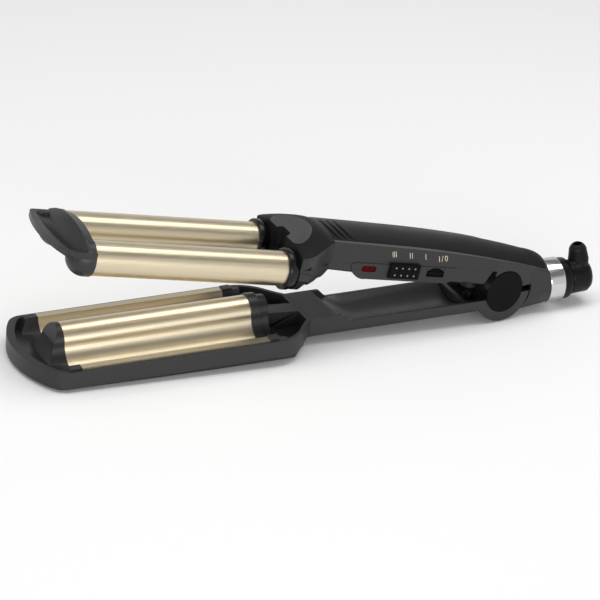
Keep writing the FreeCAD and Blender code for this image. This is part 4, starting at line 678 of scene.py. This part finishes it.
def sliderStuds(d):
    work = bmesh.new()
    for row in (-0.5, 0.5):
        for column in (-1.5, -0.5, 0.5, 1.5):
            place = Matrix.Translation(Vector((d["x"] + column * d["pitchX"],
                                               d["face"] - 0.5 * d["height"] + d["sunk"],
                                               d["z"] + row * d["pitchZ"])) * mm)
            made = bmesh.ops.create_cone(work, cap_ends=True, segments=16, radius1=d["radius"] * mm,
                                         radius2=d["taper"] * d["radius"] * mm, depth=d["height"] * mm,
                                         matrix=place @ Matrix.Rotation(math.radians(90), 4, "X"))
            rim = [e for e in edgesOf(made["verts"])
                   if all(v.co.y < (d["face"] - 0.6 * d["height"]) * mm for v in e.verts)]
            bmesh.ops.bevel(work, geom=rim, offset=d["round"] * mm, segments=2, affect="EDGES", profile=0.5,
                            material=-1)
    return toMesh(work, "sliderStuds", upperArm)


addPiece("sliderStuds", sliderStuds(studs), "stud", "slider")

lensRim = {"x": -95.6, "z": 10.4, "face": -17.86, "length": 7.6, "height": 3.0, "width": 0.62, "high": 0.25,
           "arcSteps": 8}


def lampRim(d):
    # raised oval ridge just inside the lens, coloured bright red as a painted highlight
    half, radius = 0.5 * (d["length"] - d["height"]), 0.5 * d["height"]
    path = []
    for side, start in ((1, -90), (-1, 90)):
        for i in range(d["arcSteps"] + 1):
            turn = math.radians(start + 180 * i / d["arcSteps"])
            path.append((side * half + radius * math.cos(turn), radius * math.sin(turn)))
    work = bmesh.new()
    face = nearFace(work, path, d)
    bmesh.ops.inset_region(work, faces=[face], thickness=d["width"] * mm, depth=0.0, use_boundary=True,
                           use_even_offset=True)
    bmesh.ops.delete(work, geom=[face], context="FACES_ONLY")
    drawOut(work, work.faces[:], -d["high"])
    return toMesh(work, "lampRim", upperArm)


# the rim's bright red is a painted highlight
addPiece("lampRim", lampRim(lensRim), "lampRimHighlight", "upper_arm")

# Power rocker: half-moon pad with a finger bar, and the corners that close its window to that shape
moon = {"x": -50.8, "z": 10.4, "face": -19.1, "half": 5.15, "high": 2.3, "rise": 1.75, "arcSteps": 16,
        "depth": 2.4, "lip": 0.45, "dish": 0.9, "lean": -6.0, "pivot": -16.4,
        "barHalf": 3.7, "barHigh": 0.7, "barDrop": 0.2, "barSunk": 0.75, "barThick": 1.0, "barRound": 0.3}
window = {"x": -50.8, "z": 10.4, "face": -18.45, "thick": 1.6, "gap": 0.42, "past": 0.36, "tip": 0.05}


def moonOutline(d, grow=0.0):
    # straight foot, short sides and a bowed top, about the middle of the window
    half, rise, brow = d["half"] + grow, d["rise"] + grow, d["high"] - d["rise"]
    radius = (half ** 2 + rise ** 2) / (2 * rise)
    sweep = math.asin(half / radius)
    points = [(-half, -d["high"] - grow), (half, -d["high"] - grow)]
    for i in range(d["arcSteps"] + 1):
        turn = sweep - 2 * sweep * i / d["arcSteps"]
        points.append((radius * math.sin(turn), brow + rise - radius + radius * math.cos(turn)))
    return points


def moonPad(d):
    work = bmesh.new()
    drawOut(work, [nearFace(work, moonOutline(d), d)], d["depth"])
    front = [f for f in work.faces if all(abs(v.co.y - d["face"] * mm) < 1e-6 for v in f.verts)]
    bmesh.ops.inset_region(work, faces=front, thickness=d["lip"] * mm, depth=0.0)
    dished = list(dict.fromkeys(v for f in front for v in f.verts))
    bmesh.ops.translate(work, verts=dished, vec=(0, d["dish"] * mm, 0))
    # finger bar across the dish
    bar = bmesh.ops.create_cube(work, size=1.0, matrix=Matrix.Translation(
        Vector((d["x"], d["face"] + d["barSunk"], d["z"] - d["barDrop"])) * mm) @ Matrix.Diagonal(
        (2 * d["barHalf"] * mm, d["barThick"] * mm, 2 * d["barHigh"] * mm, 1)))
    bmesh.ops.bevel(work, geom=edgesOf(bar["verts"]), offset=d["barRound"] * mm, segments=3, affect="EDGES",
                    profile=0.5, material=-1)
    # the pad is made upright and then leans as the rocker does at rest
    pivot = Matrix.Translation(Vector((d["x"], d["pivot"], d["z"])) * mm)
    lean = pivot @ Matrix.Rotation(math.radians(d["lean"]), 4, "Z") @ pivot.inverted()
    return toMesh(work, "moonRocker", upperArm @ lean)


def moonWindow(d, pad):
    # plate level with the panel, open in the half-moon shape
    work = bmesh.new()
    wide, tall = pad["half"] + d["past"], pad["high"] + d["past"]
    arc = [p for p in moonOutline(pad, d["gap"])[2:] if p[1] < tall - d["tip"]]
    for side in (-1, 1):
        outline = [p for p in arc if side * p[0] >= -0.001] + [(side * wide, tall)]
        drawOut(work, [nearFace(work, outline, d)], d["thick"])
    return toMesh(work, "moonWindow", upperArm)


rockerPiece = addPiece("moonRocker", moonPad(moon), "deep", "rocker")
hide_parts("power_rocker")
addPiece("moonWindow", moonWindow(window, moon), "satin", "upper_arm")

marks = {
    # x, z and spacing of the letters
    "texts": {"III": (-80.4, 19.9, 1.0), "II": (-69.3, 19.7, 1.15), "I": (-59.5, 19.5, 1.0),
              "I/0": (-47.7, 19.0, 1.4)},
    "size": 5.3, "thickness": 0.03, "face": -18.02, "narrow": 0.80, "turn": 9.0, "upright": 0.15}


def printedMark(text, x, z, spacing, d):
    curve = bpy.data.curves.new("mark", "FONT")
    curve.body = text
    curve.align_x = "CENTER"
    curve.align_y = "CENTER"
    curve.size = d["size"] * mm
    curve.extrude = d["thickness"] * mm
    curve.resolution_u = 3
    curve.space_character = spacing
    holder = bpy.data.objects.new("mark", curve)
    bpy.context.scene.collection.objects.link(holder)
    bpy.context.view_layer.update()
    mesh = bpy.data.meshes.new_from_object(holder.evaluated_get(bpy.context.evaluated_depsgraph_get()))
    bpy.data.objects.remove(holder)
    bpy.data.curves.remove(curve)
    upright = Matrix.Identity(4)
    upright[0][1] = -d["upright"]
    turned = Matrix.Rotation(math.radians(90), 4, "X") @ Matrix.Rotation(math.radians(d["turn"]), 4, "Z")
    mesh.transform(upperArm @ Matrix.Translation(Vector((x, d["face"], z)) * mm) @ turned @ upright
                   @ Matrix.Diagonal((d["narrow"], 1, 1, 1)))
    return mesh


for number, (text, (x, z, spacing)) in enumerate(marks["texts"].items()):
    addPiece(f"printedMark{number}", printedMark(text, x, z, spacing, marks), "mark", "upper_arm")
print("controls finished")


# Stage: pale floor and soft studio light

def newStage():
    mesh = bpy.data.meshes.new("floor")
    floor = bpy.data.objects.new("floor", mesh)
    bpy.context.scene.collection.objects.link(floor)
    work = bmesh.new()
    bmesh.ops.create_grid(work, x_segments=1, y_segments=1, size=6)
    work.to_mesh(mesh)
    work.free()
    floor.location.z = -0.0005
    material, tree, shader = newMaterial("paleFloor")
    shader.inputs["Base Color"].default_value = (0.93, 0.93, 0.93, 1)
    shader.inputs["Roughness"].default_value = 0.8
    shader.inputs["Specular IOR Level"].default_value = 0.1
    mesh.materials.append(material)


def addLamp(name, place, aim, size, power):
    light = bpy.data.lights.new(name, "AREA")
    light.shape = "RECTANGLE"
    light.size, light.size_y = size
    light.energy = power
    lamp = bpy.data.objects.new(name, light)
    lamp.location = place
    lamp.rotation_euler = (Vector(aim) - Vector(place)).to_track_quat("-Z", "Y").to_euler()
    bpy.context.scene.collection.objects.link(lamp)


lampPlan = {
    "topBox": dict(place=(0.0, 0.02, 1.1), aim=(0, 0, 0), size=(1.7, 0.55), power=8.0),
    "frontBox": dict(place=(-0.35, -1.3, 0.28), aim=(0, 0, 0.03), size=(1.5, 0.40), power=9.0),
}
newStage()
for name, plan in lampPlan.items():
    addLamp(name, **plan)

# Studio walls: pale low down, a darker band at half height, bright overhead
wallTones = {0.0: 0.80, 0.42: 0.74, 0.60: 0.26, 0.80: 0.24, 0.94: 0.75, 1.0: 0.85}
world = bpy.data.worlds.new("studio")
world.use_nodes = True
bpy.context.scene.world = world
tree = world.node_tree
heading = tree.nodes.new("ShaderNodeTexCoord")
split = tree.nodes.new("ShaderNodeSeparateXYZ")
ramp = tree.nodes.new("ShaderNodeValToRGB")
while len(ramp.color_ramp.elements) < len(wallTones):
    ramp.color_ramp.elements.new(0.5)
for element, (height, tone) in zip(ramp.color_ramp.elements, wallTones.items()):
    element.position = height
    element.color = (tone, tone, tone, 1)
link(tree, heading.outputs["Generated"], split.inputs["Vector"])
link(tree, split.outputs["Z"], ramp.inputs["Fac"])
link(tree, ramp.outputs["Color"], tree.nodes["Background"].inputs["Color"])
bpy.context.scene.view_settings.view_transform = "Standard"

# Camera at the photograph's viewing angle: a long lens from the front left, turned a little
cameraView = {"azimuth": -27.053, "elevation": 24.899, "roll": 5.392, "distance": 2.3868, "lens": 243.2,
              "aim": (0.01475, 0.04221, -0.00159)}


def newCamera(view):
    az, el = math.radians(view["azimuth"]), math.radians(view["elevation"])
    look = Vector((-math.sin(az) * math.cos(el), math.cos(az) * math.cos(el), -math.sin(el)))
    camera = bpy.data.objects.new("camera", bpy.data.cameras.new("camera"))
    bpy.context.scene.collection.objects.link(camera)
    turn = look.to_track_quat("-Z", "Y").to_matrix().to_4x4()
    turn = turn @ Matrix.Rotation(math.radians(view["roll"]), 4, "Z")
    camera.matrix_world = Matrix.Translation(Vector(view["aim"]) - look * view["distance"]) @ turn
    camera.data.lens = view["lens"]
    camera.data.sensor_width = 36
    camera.data.clip_start, camera.data.clip_end = 0.1, 30
    bpy.context.scene.camera = camera


newCamera(cameraView)
print("stage lit and camera set")
